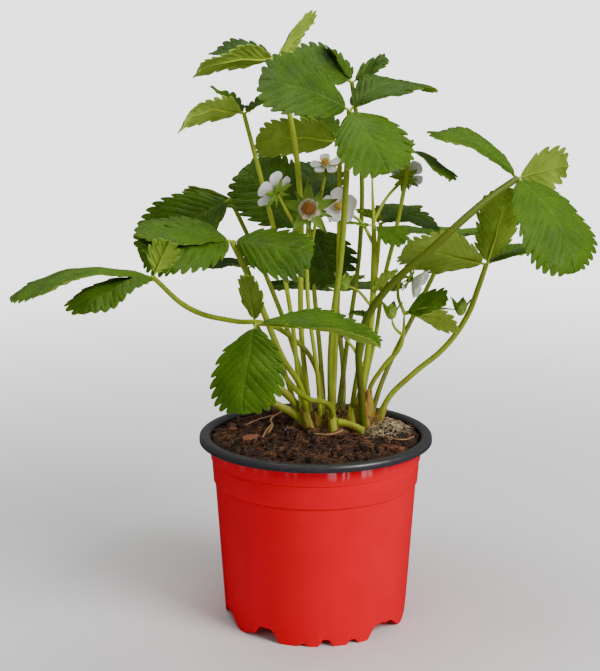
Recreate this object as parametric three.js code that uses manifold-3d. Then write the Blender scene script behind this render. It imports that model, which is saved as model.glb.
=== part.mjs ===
// A strawberry plant in a red plastic nursery pot, filled with potting soil.
// Millimetres, +Z up. The origin is on the pot's axis, on the surface that the pot stands on.
// The front, where most of the flowers are, faces -Y, and +X is on the viewer's right.

import * as THREE from 'three';
import { mergeVertices } from 'three/addons/utils/BufferGeometryUtils.js';
import Module from 'manifold-3d';

const wasm = await Module();
wasm.setup();

// The pot, a thin formed shell with a turned-out rim
const POT_HEIGHT = 106;
const RIM_RADIUS = 65;
const RIM_WIDTH = 6;
const RIM_DROP = 4;
const POT_WALL = 1.2;
const FOOT_RADIUS = 51.3;
const WALL_TAPER = 0.064;
const UPPER_BAND = 92.5;
const LOWER_BAND = 79.5;
const UPPER_BAND_STEP = 0.5;
const LOWER_BAND_STEP = 0.9;
const FLOOR_UNDERSIDE = 8;
const POT_SIDES = 30;

// The pot's feet, between cut-outs in its lower edge, and the holes in its floor
const FOOT_REPEAT = 120;
const CUTOUT_ANGLES = [-122, -46];
const CUTOUT_WIDTH = 10.5;
const CUTOUT_HEIGHT = 6.5;
const ARCH_ANGLES = [-83.5, -66.6];
const ARCH_WIDTHS = [7, 6];
const ARCH_HEIGHTS = [3.8, 2.5];
const DRAIN_HOLES = 6;
const DRAIN_RADIUS = 4;
const DRAIN_RING = 38;

// The soil, and the space that parts which touch keep between them
const CLEARANCE = 0.3;
const SOIL_EDGE = 101.5;
const SOIL_MOUND = 7;
const SOIL_RINGS = [46, 32, 18];

// The crown, three short stems grown together, with stubs of old stalks and its roots
const CROWN_LOBES = [
  { at: [-1, 1, 107], size: [13, 13, 10] },
  { at: [12, 0, 106], size: [14, 17, 10] },
  { at: [27, 0, 109], size: [13, 11, 11] },
];
const STUBS = [
  [[9, -9, 114], [17, -12, 113.5], [26, -16, 110.8]],
  [[-5, -6, 112], [-13, -9, 119], [-26, -13, 127]],
  [[-6, 4, 113], [-13, 0, 124], [-24, -4, 135]],
];
const STUB_RADIUS = 1.9;
const ROOTS = [
  [[2, 0, 102], [-8, -6, 82], [-22, -14, 58]],
  [[8, 4, 100], [4, 14, 78], [-4, 28, 52]],
  [[16, -4, 100], [18, -14, 80], [22, -28, 54]],
  [[24, 2, 102], [32, 8, 80], [36, 20, 56]],
  [[12, 0, 99], [12, 0, 76], [8, -4, 40]],
];
const ROOT_RADIUS = 1.4;
const ROOT_TIP_RADIUS = 0.4;

// The old plug of peat and fine roots that shows beside the crown
const PLUG = { at: [44, 9, 104], size: [13, 14, 8.5] };

// Bark chips that lie half sunk in the soil
const CHIPS = [
  { at: [-35, -16, 105.6], turn: 20, tilt: 8, size: [11, 8, 3] },
  { at: [42, -28, 104.2], turn: -25, tilt: -6, size: [14, 6, 2.6] },
  { at: [-46, 10, 104.4], turn: 70, tilt: 6, size: [12, 5, 2.4] },
  { at: [-14, 40, 105.2], turn: -40, tilt: -5, size: [13, 7, 2.8] },
];

// The blades of leaflets, petals and sepals
const BLADE_THICKNESS = 0.8;
const TOOTH_LENGTH = 2.2;
const FIRST_TOOTH = 0.17;
const TEETH_END = 0.95;
const TOOTH_PEAK = 0.6;
const TIP_WIDTH = 2.6;
const PETIOLULE = 2.5;
const PETIOLULE_WIDTH = 1.6;
const TOOTH_SPACING = 13;
const STEM_SIDES = 5;
const PETIOLE_STEPS = 6;
const BRANCH_STEPS = 3;

// Every compound leaf: its petiole from the crown to the hub, and at the hub its leaflets, each
// with its heading and rise in degrees, its length and width, and its droop, roll and fold
const LEAVES = {
  leaf_top_left: {
    petiole: [[-2, 4, 107], [-5, 6, 130], [-8, 7, 160], [-9, 6, 240], [-15, 6, 284], [-22, 8, 310]],
    radius: 1.6,
    leaflets: [[-152, -9, 46, 24, 30, 30, 5], [168, 6, 32, 28, 18, -16, 16],
      [56, 29, 36, 23, 5, -52, 10]],
  },
  leaf_top: {
    petiole: [[10, -4, 107], [8, -9, 135], [9, -14, 170], [13, -18, 205], [15, -22, 235],
      [17, -25, 284]],
    radius: 1.7,
    leaflets: [[-157, 13, 47, 39, 35, -50, 5], [24, 11, 48, 38, 70, 12, 5],
      [-64, -41, 44, 36, 40, 15, -5]],
  },
  leaf_top_back: {
    petiole: [[12, 9, 107], [18, 30, 150], [26, 60, 205], [26, 62, 255], [20, 48, 297]],
    radius: 1.4,
    leaflets: [[130, 45, 24, 18, 10, 25, 20], [-12, 32, 21, 17, 10, 32, 10],
      [182, 16, 38, 32, 25, -45, 5]],
  },
  leaf_middle: {
    petiole: [[9, 2, 107], [11, 10, 150], [13, 24, 210], [13, 32, 265]],
    radius: 1.5,
    leaflets: [[-165, 0, 46, 33, 20, 42, 5], [-42, -15, 30, 26, 20, 10, 0],
      [130, 32, 34, 24, 15, 0, 5]],
  },
  leaf_high_left: {
    petiole: [[-6, -1, 107], [-9, -3, 130], [-13, -7, 170], [-20, -11, 210], [-29, -12, 247],
      [-38, -12, 282]],
    radius: 1.3,
    leaflets: [[-152, -11, 38, 25, 50, 38, 5], [132, 29, 22, 18, 0, 15, 15],
      [48, 26, 19, 15, -10, -8, 15]],
  },
  leaf_left_front: {
    petiole: [[-4, -8, 107], [-8, -14, 134], [-18, -24, 154], [-28, -34, 182], [-38, -42, 208],
      [-43, -45, 219]],
    radius: 1.7,
    leaflets: [[-145, -9, 43, 42, 30, -24, 5], [180, 7, 46, 38, 20, -11, 5],
      [-10, -9, 39, 33, 15, 40, -15]],
  },
  leaf_far_left: {
    petiole: [[4, 1, 107], [3, 4, 128], [-3, 3, 148], [-12, 2, 158], [-24, -4, 167],
      [-44, -31, 175], [-64, -59, 187], [-79, -80, 206]],
    radius: 1.4,
    leaflets: [[-167, -7, 68, 42, 50, 3, 0], [-129, -14, 46, 36, 45, 7, 5],
      [-5, 62, 17, 14, 8, -70, 8]],
  },
  leaf_back_left: {
    petiole: [[-2, 10, 107], [-10, 20, 140], [-28, 42, 185], [-50, 57, 230]],
    radius: 1.4,
    leaflets: [[-176, -36, 62, 46, 20, -50, 5], [108, -8, 42, 36, 20, 20, 5],
      [20, 12, 18, 16, 30, 20, 5]],
  },
  leaf_back_middle: {
    petiole: [[5, 8, 107], [3, 16, 140], [-1, 32, 180], [-4, 44, 216]],
    radius: 1.4,
    leaflets: [[172, 37, 48, 42, 10, -60, 5], [85, 50, 42, 36, 10, 0, 5],
      [-42, -65, 33, 32, 20, 40, 5]],
  },
  leaf_low_front: {
    petiole: [[10, -12, 107], [8, -15, 124], [-4, -28, 132], [-14, -46, 146], [-24, -62, 168],
      [-30, -70, 181]],
    radius: 1.5,
    leaflets: [[-105, -57, 44, 36, 25, 10, 0], [-5, -10, 60, 34, 25, 2, 25],
      [150, 78, 22, 22, 10, 60, 5]],
  },
  leaf_high_right: {
    petiole: [[27, -6, 107], [25, -12, 130], [24, -22, 165], [34, -30, 188], [60, -34, 214],
      [87, -26, 237], [105.5, -15, 248.5]],
    radius: 2,
    leaflets: [[161, 26, 51, 40, 48, -4, 5], [30, 4, 28, 23, 20, -72, 5],
      [-54, -51, 60, 43, 62, 8, -5]],
  },
  leaf_right: {
    petiole: [[34, -1, 107], [40, 1, 124], [54, 4, 138], [72, 7, 153], [84, 9, 170],
      [90, 10, 186], [94, 10, 199]],
    radius: 1.6,
    leaflets: [[-173, 10, 46, 38, 15, 40, 5], [-48, 72, 42, 34, 0, -4, 5],
      [37, 10, 46, 36, 25, -7, 5]],
  },
  leaf_inner_right: {
    petiole: [[19, 8, 107], [24, 12, 140], [32, 18, 180], [36, 22, 220]],
    radius: 1.3,
    leaflets: [[-3, -8, 33, 26, 75, 16, 5], [60, 15, 28, 26, 20, 0, 5],
      [-130, 30, 16, 14, 10, 0, 5]],
  },
  leaf_small_right: {
    petiole: [[24, 4, 107], [28, 3, 135], [33, 3, 160], [37, 2, 190], [43, 0, 218],
      [48, 2, 245], [50.5, 4, 262]],
    radius: 1.2,
    leaflets: [[-34, -31, 27, 20, 35, -8, 5], [-157, -3, 18, 15, 10, -20, 5],
      [112, 5, 18, 15, 20, -10, 5]],
  },
  leaf_rear: {
    petiole: [[15, 15, 107], [16, 32, 130], [14, 60, 152], [12, 80, 172]],
    radius: 1.5,
    leaflets: [[195, 5, 38, 32, 25, 0, 5], [90, 0, 40, 34, 40, 0, 5], [-15, 5, 38, 32, 25, 0, 5]],
  },
  leaf_rear_left: {
    petiole: [[-8, 6, 107], [-16, 18, 130], [-30, 54, 162], [-42, 80, 186]],
    radius: 1.4,
    leaflets: [[200, 5, 38, 32, 25, 0, 5], [110, -5, 40, 34, 40, 0, 5], [15, 5, 28, 26, 25, 0, 5]],
  },
  leaf_rear_right: {
    petiole: [[30, 9, 107], [38, 20, 130], [60, 44, 170], [80, 62, 207]],
    radius: 1.4,
    leaflets: [[-25, 5, 34, 30, 25, 0, 5], [70, -5, 42, 34, 40, 0, 5], [168, 5, 32, 28, 25, 0, 5]],
  },
};

// The blooms: the middle of each one's calyx, the way that it faces (heading and rise), how many
// petals it has, their length and width and how far they lift, and the length of its sepals
const BLOOMS = {
  bloom_left: {
    at: [-21, -24, 242], faces: [140, 30], sepal: 6,
    petals: 5, petal: [10, 8.5], lift: 12,
  },
  bloom_spent: {
    at: [-4, -22, 233], faces: [-92, 15], sepal: 9,
    petals: 0,
  },
  bloom_middle: {
    at: [12.5, -9, 233], faces: [-92, 10], sepal: 6,
    petals: 5, petal: [9, 7.5], lift: 25,
  },
  bloom_withered: {
    at: [5, -7, 254], faces: [-100, 55], sepal: 4,
    petals: 5, petal: [7, 5], lift: 10,
  },
  bloom_right: {
    at: [49, 14, 247], faces: [70, 25], sepal: 6,
    petals: 5, petal: [9, 7.5], lift: 20,
  },
  bloom_nodding: {
    at: [52, -5, 193], faces: [-15, -25], sepal: 6,
    petals: 5, petal: [9.5, 8], lift: 40,
  },
  bloom_low: {
    at: [17, -8, 165], faces: [-90, 50], sepal: 3,
    petals: 4, petal: [6, 5], lift: 20,
  },
};
const PETAL_ROWS = [[0, 0], [0.5, 0], [1, 0.3]];
const PETAL_FOOT = 1.5;
const DISC_RADIUS = 2.6;
const DISC_DEPTH = 0.8;
const SEPALS = 5;
const SEPAL_WIDTH = 2;
const CALYX_RADIUS = 2.4;
const CALYX_DEPTH = 1.4;
const HEART_RADIUS = 2.3;
const STAMENS = 5;
const STAMEN_LENGTH = 2.6;
const BUD_SIZE = [2.6, 2.6, 4];

// The flowering sprays: their stalks, of which the first stands in the crown, the small leaves on
// them, and their buds
const SPRAYS = {
  spray_left: {
    stalks: [
      { path: [[3, -5, 107], [1, -10, 140], [-4, -14, 180], [-5, -16, 205]], radius: 1.2, bloom: 'bloom_spent' },
      { path: [[-5, -15, 200], [-9, -17, 218], [-16, -22, 233]], radius: 0.9, bloom: 'bloom_left' },
      { path: [[-5, -15, 200], [0, -10, 226], [4, -7, 246]], radius: 0.9, bloom: 'bloom_withered' },
    ],
    leaves: [],
    buds: [],
  },
  spray_middle: {
    stalks: [
      { path: [[20, -2, 107], [26, -2, 135], [30, -2, 165], [31.5, -2, 200], [30, -1, 248]], radius: 1.8 },
      { path: [[31, -2, 224], [38, 4, 236], [46, 11, 244]], radius: 0.9, bloom: 'bloom_right' },
      { path: [[31, -2, 212], [24, -3, 224], [14, -5, 231]], radius: 0.9, bloom: 'bloom_middle' },
      { path: [[27, -2, 142], [21, -4, 154], [16, -6, 162]], radius: 0.9, bloom: 'bloom_low' },
      { path: [[30, -2, 178], [22, -4, 187], [15, -6, 190]], radius: 0.8 },
    ],
    leaves: [
      { at: [31, -2, 222], list: [[-35, -25, 18, 15, 20, 20, 5], [-165, 8, 13, 12, 10, 0, 5]] },
      { at: [30, -2, 183], list: [[-45, 45, 20, 12, 10, 0, 10]] },
      { at: [30, -2, 170], list: [[130, 10, 12, 11, 10, 0, 5]] },
    ],
    buds: [[15, -6, 191]],
  },
  spray_right: {
    stalks: [
      { path: [[29, 4, 107], [30, 6, 128], [38, 6, 142], [47, 5, 154], [49, 5, 173]], radius: 1.4 },
      { path: [[49, 5, 172], [45, 3, 184], [48, -3, 194]], radius: 0.9, bloom: 'bloom_nodding' },
      { path: [[49, 5, 172], [62, 2, 180], [78, -3, 176]], radius: 0.8 },
      { path: [[48, 5, 160], [43, 0, 166], [41, -4, 174]], radius: 0.8 },
    ],
    leaves: [{ at: [49, 5, 173], list: [[-24, 20, 23, 20, 10, 30, 10], [-14, -14, 28, 20, 20, -40, 5]] }],
    buds: [[79, -3, 177], [41, -4, 175]],
  },
};

// Colours
const LEAF_GREEN = 0x4a8a26;
const STALK_GREEN = 0x9cb04a;
const PETAL_WHITE = 0xf0ede6;
const HEART_YELLOW = 0xc8862a;
const CROWN_BROWN = 0x8a6a3a;
const PLUG_STRAW = 0x8c7c5c;
const BARK_BROWN = 0x8a3c24;
const SOIL_BROWN = 0x2c1c14;
const POT_RED = 0xd8141c;

function radians(degrees) {
  return THREE.MathUtils.degToRad(degrees);
}

function vector(point) {
  return new THREE.Vector3(...point);
}

// A closed solid from a geometry, with only its positions kept
function solidFrom(geometry) {
  const bare = geometry.clone();
  bare.deleteAttribute('normal');
  bare.deleteAttribute('uv');
  const merged = mergeVertices(bare, 1e-4);
  return new wasm.Manifold(new wasm.Mesh({
    numProp: 3,
    vertProperties: new Float32Array(merged.attributes.position.array),
    triVerts: new Uint32Array(merged.index.array),
  }));
}

// A solid's faces, as a geometry
function geometryFrom(solid) {
  const mesh = solid.getMesh();
  const geometry = new THREE.BufferGeometry();
  geometry.setAttribute('position', new THREE.BufferAttribute(mesh.vertProperties, 3));
  geometry.setIndex(new THREE.BufferAttribute(mesh.triVerts, 1));
  geometry.computeVertexNormals();
  return geometry;
}

function joined(solids) {
  return solids.reduce((whole, solid) => whole.add(solid));
}

// A round bar along a smooth curve through the points
function bar(points, radius, steps) {
  const section = new THREE.Shape();
  for (let side = 0; side < STEM_SIDES; side += 1) {
    const angle = (side / STEM_SIDES) * 2 * Math.PI;
    section[side === 0 ? 'moveTo' : 'lineTo'](radius * Math.cos(angle), radius * Math.sin(angle));
  }
  const path = new THREE.CatmullRomCurve3(points.map(vector));
  return solidFrom(new THREE.ExtrudeGeometry(section, { steps, bevelEnabled: false, extrudePath: path }));
}

// The pot's outer radius at a height below its bands
function wallRadius(height) {
  return FOOT_RADIUS + WALL_TAPER * height;
}

function potSolid() {
  const rimInner = RIM_RADIUS - RIM_WIDTH;
  const lowerBand = wallRadius(LOWER_BAND) + LOWER_BAND_STEP;
  const upperBand = wallRadius(UPPER_BAND) + LOWER_BAND_STEP;
  const underRim = POT_HEIGHT - POT_WALL;
  const floorTop = FLOOR_UNDERSIDE + POT_WALL;
  const profile = [
    [0, FLOOR_UNDERSIDE],
    [wallRadius(FLOOR_UNDERSIDE) - POT_WALL, FLOOR_UNDERSIDE],
    [FOOT_RADIUS - POT_WALL, 0],
    [FOOT_RADIUS, 0],
    [wallRadius(LOWER_BAND), LOWER_BAND],
    [lowerBand, LOWER_BAND + LOWER_BAND_STEP],
    [upperBand, UPPER_BAND],
    [upperBand + UPPER_BAND_STEP, UPPER_BAND + UPPER_BAND_STEP],
    [rimInner + POT_WALL, underRim],
    [RIM_RADIUS - POT_WALL, underRim],
    [RIM_RADIUS - POT_WALL, POT_HEIGHT - RIM_DROP],
    [RIM_RADIUS, POT_HEIGHT - RIM_DROP],
    [RIM_RADIUS, POT_HEIGHT - POT_WALL],
    [RIM_RADIUS - POT_WALL, POT_HEIGHT],
    [rimInner + POT_WALL, POT_HEIGHT],
    [rimInner, POT_HEIGHT - POT_WALL],
    [upperBand - POT_WALL, UPPER_BAND],
    [wallRadius(LOWER_BAND) - POT_WALL, LOWER_BAND],
    [wallRadius(floorTop) - POT_WALL, floorTop],
    [0, floorTop],
  ].map(([radius, height]) => new THREE.Vector2(radius, height));
  const shell = new THREE.LatheGeometry(profile, POT_SIDES).rotateX(Math.PI / 2);
  let pot = solidFrom(shell);
  for (let turn = 0; turn < 360; turn += FOOT_REPEAT) {
    for (const angle of CUTOUT_ANGLES) {
      pot = pot.subtract(edgeCut(angle + turn, CUTOUT_WIDTH, CUTOUT_HEIGHT));
    }
    ARCH_ANGLES.forEach((angle, index) => {
      pot = pot.subtract(edgeCut(angle + turn, ARCH_WIDTHS[index], ARCH_HEIGHTS[index]));
    });
  }
  for (let hole = 0; hole < DRAIN_HOLES; hole += 1) {
    const angle = (hole / DRAIN_HOLES) * 2 * Math.PI;
    const drill = new THREE.CylinderGeometry(DRAIN_RADIUS, DRAIN_RADIUS, 8, 8).rotateX(Math.PI / 2);
    drill.translate(DRAIN_RING * Math.cos(angle), DRAIN_RING * Math.sin(angle), FLOOR_UNDERSIDE);
    pot = pot.subtract(solidFrom(drill));
  }
  return pot;
}

// A block that cuts an opening in the pot's lower edge
function edgeCut(angle, width, height) {
  const block = new THREE.BoxGeometry(12, width, 2 * height);
  block.translate(FOOT_RADIUS, 0, 0);
  block.rotateZ(radians(angle));
  return solidFrom(block);
}

// The height of the soil's surface, higher round the crown and a little lumpy
function soilHeight(x, y) {
  const reach = Math.min(Math.hypot(x, y) / RIM_RADIUS, 1);
  const mound = SOIL_MOUND * (1 - reach * reach);
  const lumps = 0.8 * Math.sin(x / 5.1 + 1) * Math.cos(y / 4.7) + 0.6 * Math.sin((x + 2 * y) / 9);
  return SOIL_EDGE + mound + lumps;
}

function soilSolid() {
  const inset = POT_WALL + CLEARANCE;
  const floor = FLOOR_UNDERSIDE + POT_WALL + CLEARANCE;
  const edgeRadius = RIM_RADIUS - RIM_WIDTH - POT_WALL - CLEARANCE;
  const upperBand = wallRadius(UPPER_BAND) + LOWER_BAND_STEP;
  const profile = [
    [0, floor],
    [wallRadius(floor) - inset, floor],
    [wallRadius(LOWER_BAND) - inset, LOWER_BAND],
    [upperBand - inset, UPPER_BAND],
    [edgeRadius, SOIL_EDGE - 1],
    ...SOIL_RINGS.map((radius) => [radius, SOIL_EDGE]),
    [0, SOIL_EDGE],
  ].map(([radius, height]) => new THREE.Vector2(radius, height));
  const heap = new THREE.LatheGeometry(profile, POT_SIDES).rotateX(Math.PI / 2);
  const places = heap.attributes.position;
  for (let index = 0; index < places.count; index += 1) {
    if (places.getZ(index) > SOIL_EDGE - 0.5) {
      places.setZ(index, soilHeight(places.getX(index), places.getY(index)));
    }
  }
  return solidFrom(heap);
}

// A rounded lump, grown on every side by the given amount
function lump({ at, size }, grown, detail) {
  const ball = new THREE.IcosahedronGeometry(1, detail);
  ball.scale(size[0] + grown, size[1] + grown, size[2] + grown);
  ball.translate(...at);
  return solidFrom(ball);
}

function crownLobes(grown) {
  return joined(CROWN_LOBES.map((lobe) => lump(lobe, grown, 1)));
}

// A tapering root, grown on every side by the given amount
function root(points, grown) {
  const steps = 3;
  const sides = 5;
  const path = new THREE.CatmullRomCurve3(points.map(vector));
  const straight = new THREE.CylinderGeometry(ROOT_TIP_RADIUS, ROOT_RADIUS, 1, sides, steps);
  const places = straight.attributes.position;
  const frames = path.computeFrenetFrames(steps);
  for (let index = 0; index < places.count; index += 1) {
    const step = Math.round((places.getY(index) + 0.5) * steps);
    const place = path.getPointAt(step / steps);
    const reach = Math.hypot(places.getX(index), places.getZ(index));
    const swell = reach > 0 ? (reach + grown) / reach : 0;
    const end = step === 0 ? -1 : Number(step === steps);
    place.addScaledVector(frames.binormals[step], places.getX(index) * swell);
    place.addScaledVector(frames.normals[step], places.getZ(index) * swell);
    place.addScaledVector(frames.tangents[step], end * grown);
    places.setXYZ(index, place.x, place.y, place.z);
  }
  return solidFrom(straight);
}

// A petiole or stalk, a little larger, which cuts its socket
function socket([foot, ...rest], radius, steps) {
  return bar([[foot[0], foot[1], foot[2] - CLEARANCE], ...rest], radius + 1.4 * CLEARANCE, steps);
}

function crownSolid() {
  const stubs = STUBS.map((points) => bar(points, STUB_RADIUS, 3));
  const roots = ROOTS.map((points) => root(points, 0));
  return joined([crownLobes(0), ...stubs, ...roots]);
}

// A chip of bark, a slab with a crooked outline, grown on every side by the given amount
function chipSolid({ at, turn, tilt, size }, grown) {
  const [length, width, thickness] = size.map((side) => side / 2 + grown);
  const outline = new THREE.Shape([
    new THREE.Vector2(-length, -0.5 * width),
    new THREE.Vector2(-0.2 * length, -width),
    new THREE.Vector2(length, -0.7 * width),
    new THREE.Vector2(0.8 * length, 0.6 * width),
    new THREE.Vector2(0.1 * length, width),
    new THREE.Vector2(-0.9 * length, 0.6 * width),
  ]);
  const slab = new THREE.ExtrudeGeometry(outline, { depth: 2 * thickness, bevelEnabled: false });
  slab.translate(0, 0, -thickness);
  slab.rotateX(radians(tilt));
  slab.rotateZ(radians(turn));
  slab.translate(...at);
  return solidFrom(slab);
}

// How far along and across a blade's margin is, and where its vein leaves the midrib, at a share
// of the way from base to tip
function bladeOutline(share) {
  return {
    along: Math.sin((Math.PI / 2) * share) ** 1.2,
    across: Math.sin(Math.PI * share ** 0.93) ** 0.9,
    rib: share ** 1.8,
  };
}

// The rows of a toothed leaflet: each one's share of the way to the tip, and its tooth
function toothedRows(length) {
  const teeth = Math.max(2, Math.round(length / TOOTH_SPACING));
  const pitch = (TEETH_END - FIRST_TOOTH) / teeth;
  const rows = [[0, 0]];
  for (let tooth = 0; tooth < teeth; tooth += 1) {
    rows.push([FIRST_TOOTH + tooth * pitch, 0]);
    rows.push([FIRST_TOOTH + (tooth + TOOTH_PEAK) * pitch, TOOTH_LENGTH]);
  }
  rows.push([1, TOOTH_LENGTH]);
  return rows;
}

// A thin closed blade, three points to a row, folded along its midrib, drooping and rolled
function blade(base, [heading, rise, length, width, droop, roll, fold], rows, tipWidth) {
  const pitch = radians(rise + droop / 2);
  const forward = vector([1, 0, 0]).applyAxisAngle(vector([0, -1, 0]), pitch);
  forward.applyAxisAngle(vector([0, 0, 1]), radians(heading));
  const left = vector([0, 1, 0]).applyAxisAngle(vector([0, 0, 1]), radians(heading));
  left.applyAxisAngle(forward, radians(roll));
  const upward = new THREE.Vector3().crossVectors(forward, left);
  const bend = radians(droop) || 0.001;
  const lean = radians(fold);
  const top = [];
  const bottom = [];
  for (const [share, tooth] of rows) {
    const { along, across, rib } = bladeOutline(share);
    const vein = new THREE.Vector2((along - rib) * length, (across * width) / 2);
    vein.setLength(vein.length() + tooth);
    for (const side of [-1, 0, 1]) {
      let reach = rib * length + vein.x * Math.abs(side);
      let aside = vein.y * side;
      if (share === 0) {
        reach = -PETIOLULE;
        aside = (PETIOLULE_WIDTH / 2) * side;
      }
      if (share === 1) {
        reach = length + tooth * (1 - 0.4 * Math.abs(side));
        aside = (tipWidth / 2) * side;
      }
      const turned = bend * (reach / length);
      const normal = upward.clone().multiplyScalar(Math.cos(turned));
      normal.addScaledVector(forward, Math.sin(turned));
      const spot = base.clone().addScaledVector(forward, PETIOLULE);
      spot.addScaledVector(forward, (length * Math.sin(turned)) / bend);
      spot.addScaledVector(upward, (-length * (1 - Math.cos(turned))) / bend);
      spot.addScaledVector(left, aside * Math.cos(lean));
      spot.addScaledVector(normal, Math.abs(aside) * Math.sin(lean));
      const outward = normal.multiplyScalar(Math.cos(lean));
      outward.addScaledVector(left, -side * Math.sin(lean));
      top.push(...spot.clone().addScaledVector(outward, BLADE_THICKNESS / 2).toArray());
      bottom.push(...spot.addScaledVector(outward, -BLADE_THICKNESS / 2).toArray());
    }
  }
  return closedSheet(top, bottom, rows.length);
}

// Two faces of a blade, split into triangles alike, joined by a strip round their edge
function closedSheet(top, bottom, rowCount) {
  const face = new THREE.PlaneGeometry(1, 1, 2, rowCount - 1).index.array;
  const below = top.length / 3;
  const triangles = [];
  for (let corner = 0; corner < face.length; corner += 3) {
    const [a, b, c] = face.slice(corner, corner + 3);
    triangles.push(a, b, c, c + below, b + below, a + below);
  }
  const rows = [...Array(rowCount).keys()];
  const rightEdge = rows.map((row) => row * 3 + 2);
  const leftEdge = rows.map((row) => row * 3).reverse();
  const edge = [1, ...rightEdge, below - 2, ...leftEdge];
  edge.forEach((from, index) => {
    const to = edge[(index + 1) % edge.length];
    triangles.push(from, to, to + below, from, to + below, from + below);
  });
  const geometry = new THREE.BufferGeometry();
  geometry.setAttribute('position', new THREE.Float32BufferAttribute([...top, ...bottom], 3));
  geometry.setIndex(triangles);
  return geometry;
}

function leaflets(hub, list) {
  return list.map((leaflet) => solidFrom(blade(hub, leaflet, toothedRows(leaflet[2]), TIP_WIDTH)));
}

function leafSolid({ petiole, radius, leaflets: list }) {
  return joined([bar(petiole, radius, PETIOLE_STEPS), ...leaflets(vector(petiole.at(-1)), list)]);
}

// The place and turn of a bloom, whose own +Z is the way that it faces
function bloomPose({ at, faces: [heading, rise] }) {
  const axis = vector([1, 0, 0]).applyAxisAngle(vector([0, -1, 0]), radians(rise));
  axis.applyAxisAngle(vector([0, 0, 1]), radians(heading));
  const turn = new THREE.Quaternion().setFromUnitVectors(vector([0, 0, 1]), axis);
  return new THREE.Matrix4().compose(vector(at), turn, vector([1, 1, 1]));
}

// The green disc behind a bloom, with its pointed sepals
function calyxSolid(bloom) {
  const pose = bloomPose(bloom);
  const disc = new THREE.CylinderGeometry(CALYX_RADIUS, 0.8 * CALYX_RADIUS, CALYX_DEPTH, 6);
  disc.rotateX(Math.PI / 2).translate(0, 0, -CALYX_DEPTH / 2);
  const parts = [solidFrom(disc.applyMatrix4(pose))];
  for (let index = 0; index < SEPALS; index += 1) {
    const length = bloom.sepal;
    const sepal = new THREE.ConeGeometry(SEPAL_WIDTH / 2, length, 3);
    sepal.scale(1, 1, BLADE_THICKNESS / SEPAL_WIDTH);
    sepal.translate(0, length / 2 + 0.75 * CALYX_RADIUS, 0);
    sepal.translate(0, 0, -CALYX_DEPTH / 2);
    sepal.rotateZ((index / SEPALS) * 2 * Math.PI);
    parts.push(solidFrom(sepal.applyMatrix4(pose)));
  }
  return joined(parts);
}

// The petals of a bloom, on a thin disc that lies on the calyx
function petalsSolid(bloom) {
  const pose = bloomPose(bloom);
  const disc = new THREE.CylinderGeometry(DISC_RADIUS, DISC_RADIUS, DISC_DEPTH, 6);
  disc.rotateX(Math.PI / 2).translate(0, 0, CLEARANCE + DISC_DEPTH / 2);
  const parts = [solidFrom(disc.applyMatrix4(pose))];
  const [length, width] = bloom.petal;
  for (let index = 0; index < bloom.petals; index += 1) {
    const heading = (index / bloom.petals) * 360 + 90;
    const base = vector([PETAL_FOOT, 0, 0]).applyAxisAngle(vector([0, 0, 1]), radians(heading));
    base.setZ(CLEARANCE + DISC_DEPTH / 2);
    const petal = blade(base, [heading, bloom.lift, length, width, -20, 8, 8], PETAL_ROWS, width / 3);
    parts.push(solidFrom(petal.applyMatrix4(pose)));
  }
  return joined(parts);
}

// The heart of a bloom, a small dome with a ring of stamens
function heartSolid(bloom) {
  const pose = bloomPose(bloom);
  const seat = bloom.petals > 0 ? DISC_DEPTH + 2 * CLEARANCE : CLEARANCE;
  const dome = new THREE.SphereGeometry(HEART_RADIUS, 5, 3).rotateX(Math.PI / 2);
  dome.scale(1, 1, 0.8).translate(0, 0, seat + 0.8 * HEART_RADIUS);
  const parts = [solidFrom(dome.applyMatrix4(pose))];
  for (let index = 0; index < STAMENS; index += 1) {
    const stamen = new THREE.ConeGeometry(0.5, STAMEN_LENGTH, 3).translate(0, STAMEN_LENGTH / 2 + 1, 0);
    stamen.rotateX(radians(40)).translate(0, 0, seat + 0.8 * HEART_RADIUS);
    stamen.rotateZ((index / STAMENS) * 2 * Math.PI);
    parts.push(solidFrom(stamen.applyMatrix4(pose)));
  }
  return joined(parts);
}

// A stalk's points, which end in the middle of a bloom's calyx where it carries one
function stalkPath({ path, bloom }) {
  if (!bloom) return path;
  const end = vector([0, 0, -CALYX_DEPTH / 2]).applyMatrix4(bloomPose(BLOOMS[bloom]));
  return [...path, end.toArray()];
}

function spraySolid({ stalks, leaves, buds }) {
  const parts = stalks.map((stalk, index) => {
    const steps = index === 0 ? PETIOLE_STEPS : BRANCH_STEPS;
    return bar(stalkPath(stalk), stalk.radius, steps);
  });
  for (const { bloom } of stalks) {
    if (bloom) parts.push(calyxSolid(BLOOMS[bloom]));
  }
  for (const { at, list } of leaves) parts.push(...leaflets(vector(at), list));
  for (const at of buds) {
    const bud = new THREE.SphereGeometry(1, 6, 4).rotateX(Math.PI / 2);
    parts.push(solidFrom(bud.scale(...BUD_SIZE).translate(...at)));
  }
  return joined(parts);
}

const pottedPlant = new THREE.Group();

function place(name, solid, colour, roughness) {
  const material = new THREE.MeshStandardMaterial({ color: colour, roughness, metalness: 0 });
  const mesh = new THREE.Mesh(geometryFrom(solid), material);
  mesh.name = name;
  pottedPlant.add(mesh);
}

const stems = [];
for (const [name, leaf] of Object.entries(LEAVES)) {
  place(name, leafSolid(leaf), LEAF_GREEN, 0.55);
  stems.push(socket(leaf.petiole, leaf.radius, PETIOLE_STEPS));
}
for (const [name, spray] of Object.entries(SPRAYS)) {
  place(name, spraySolid(spray), STALK_GREEN, 0.6);
  stems.push(socket(stalkPath(spray.stalks[0]), spray.stalks[0].radius, PETIOLE_STEPS));
}
for (const [name, bloom] of Object.entries(BLOOMS)) {
  if (bloom.petals > 0) place(`${name}_petals`, petalsSolid(bloom), PETAL_WHITE, 0.5);
  place(`${name}_heart`, heartSolid(bloom), HEART_YELLOW, 0.7);
}

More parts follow.
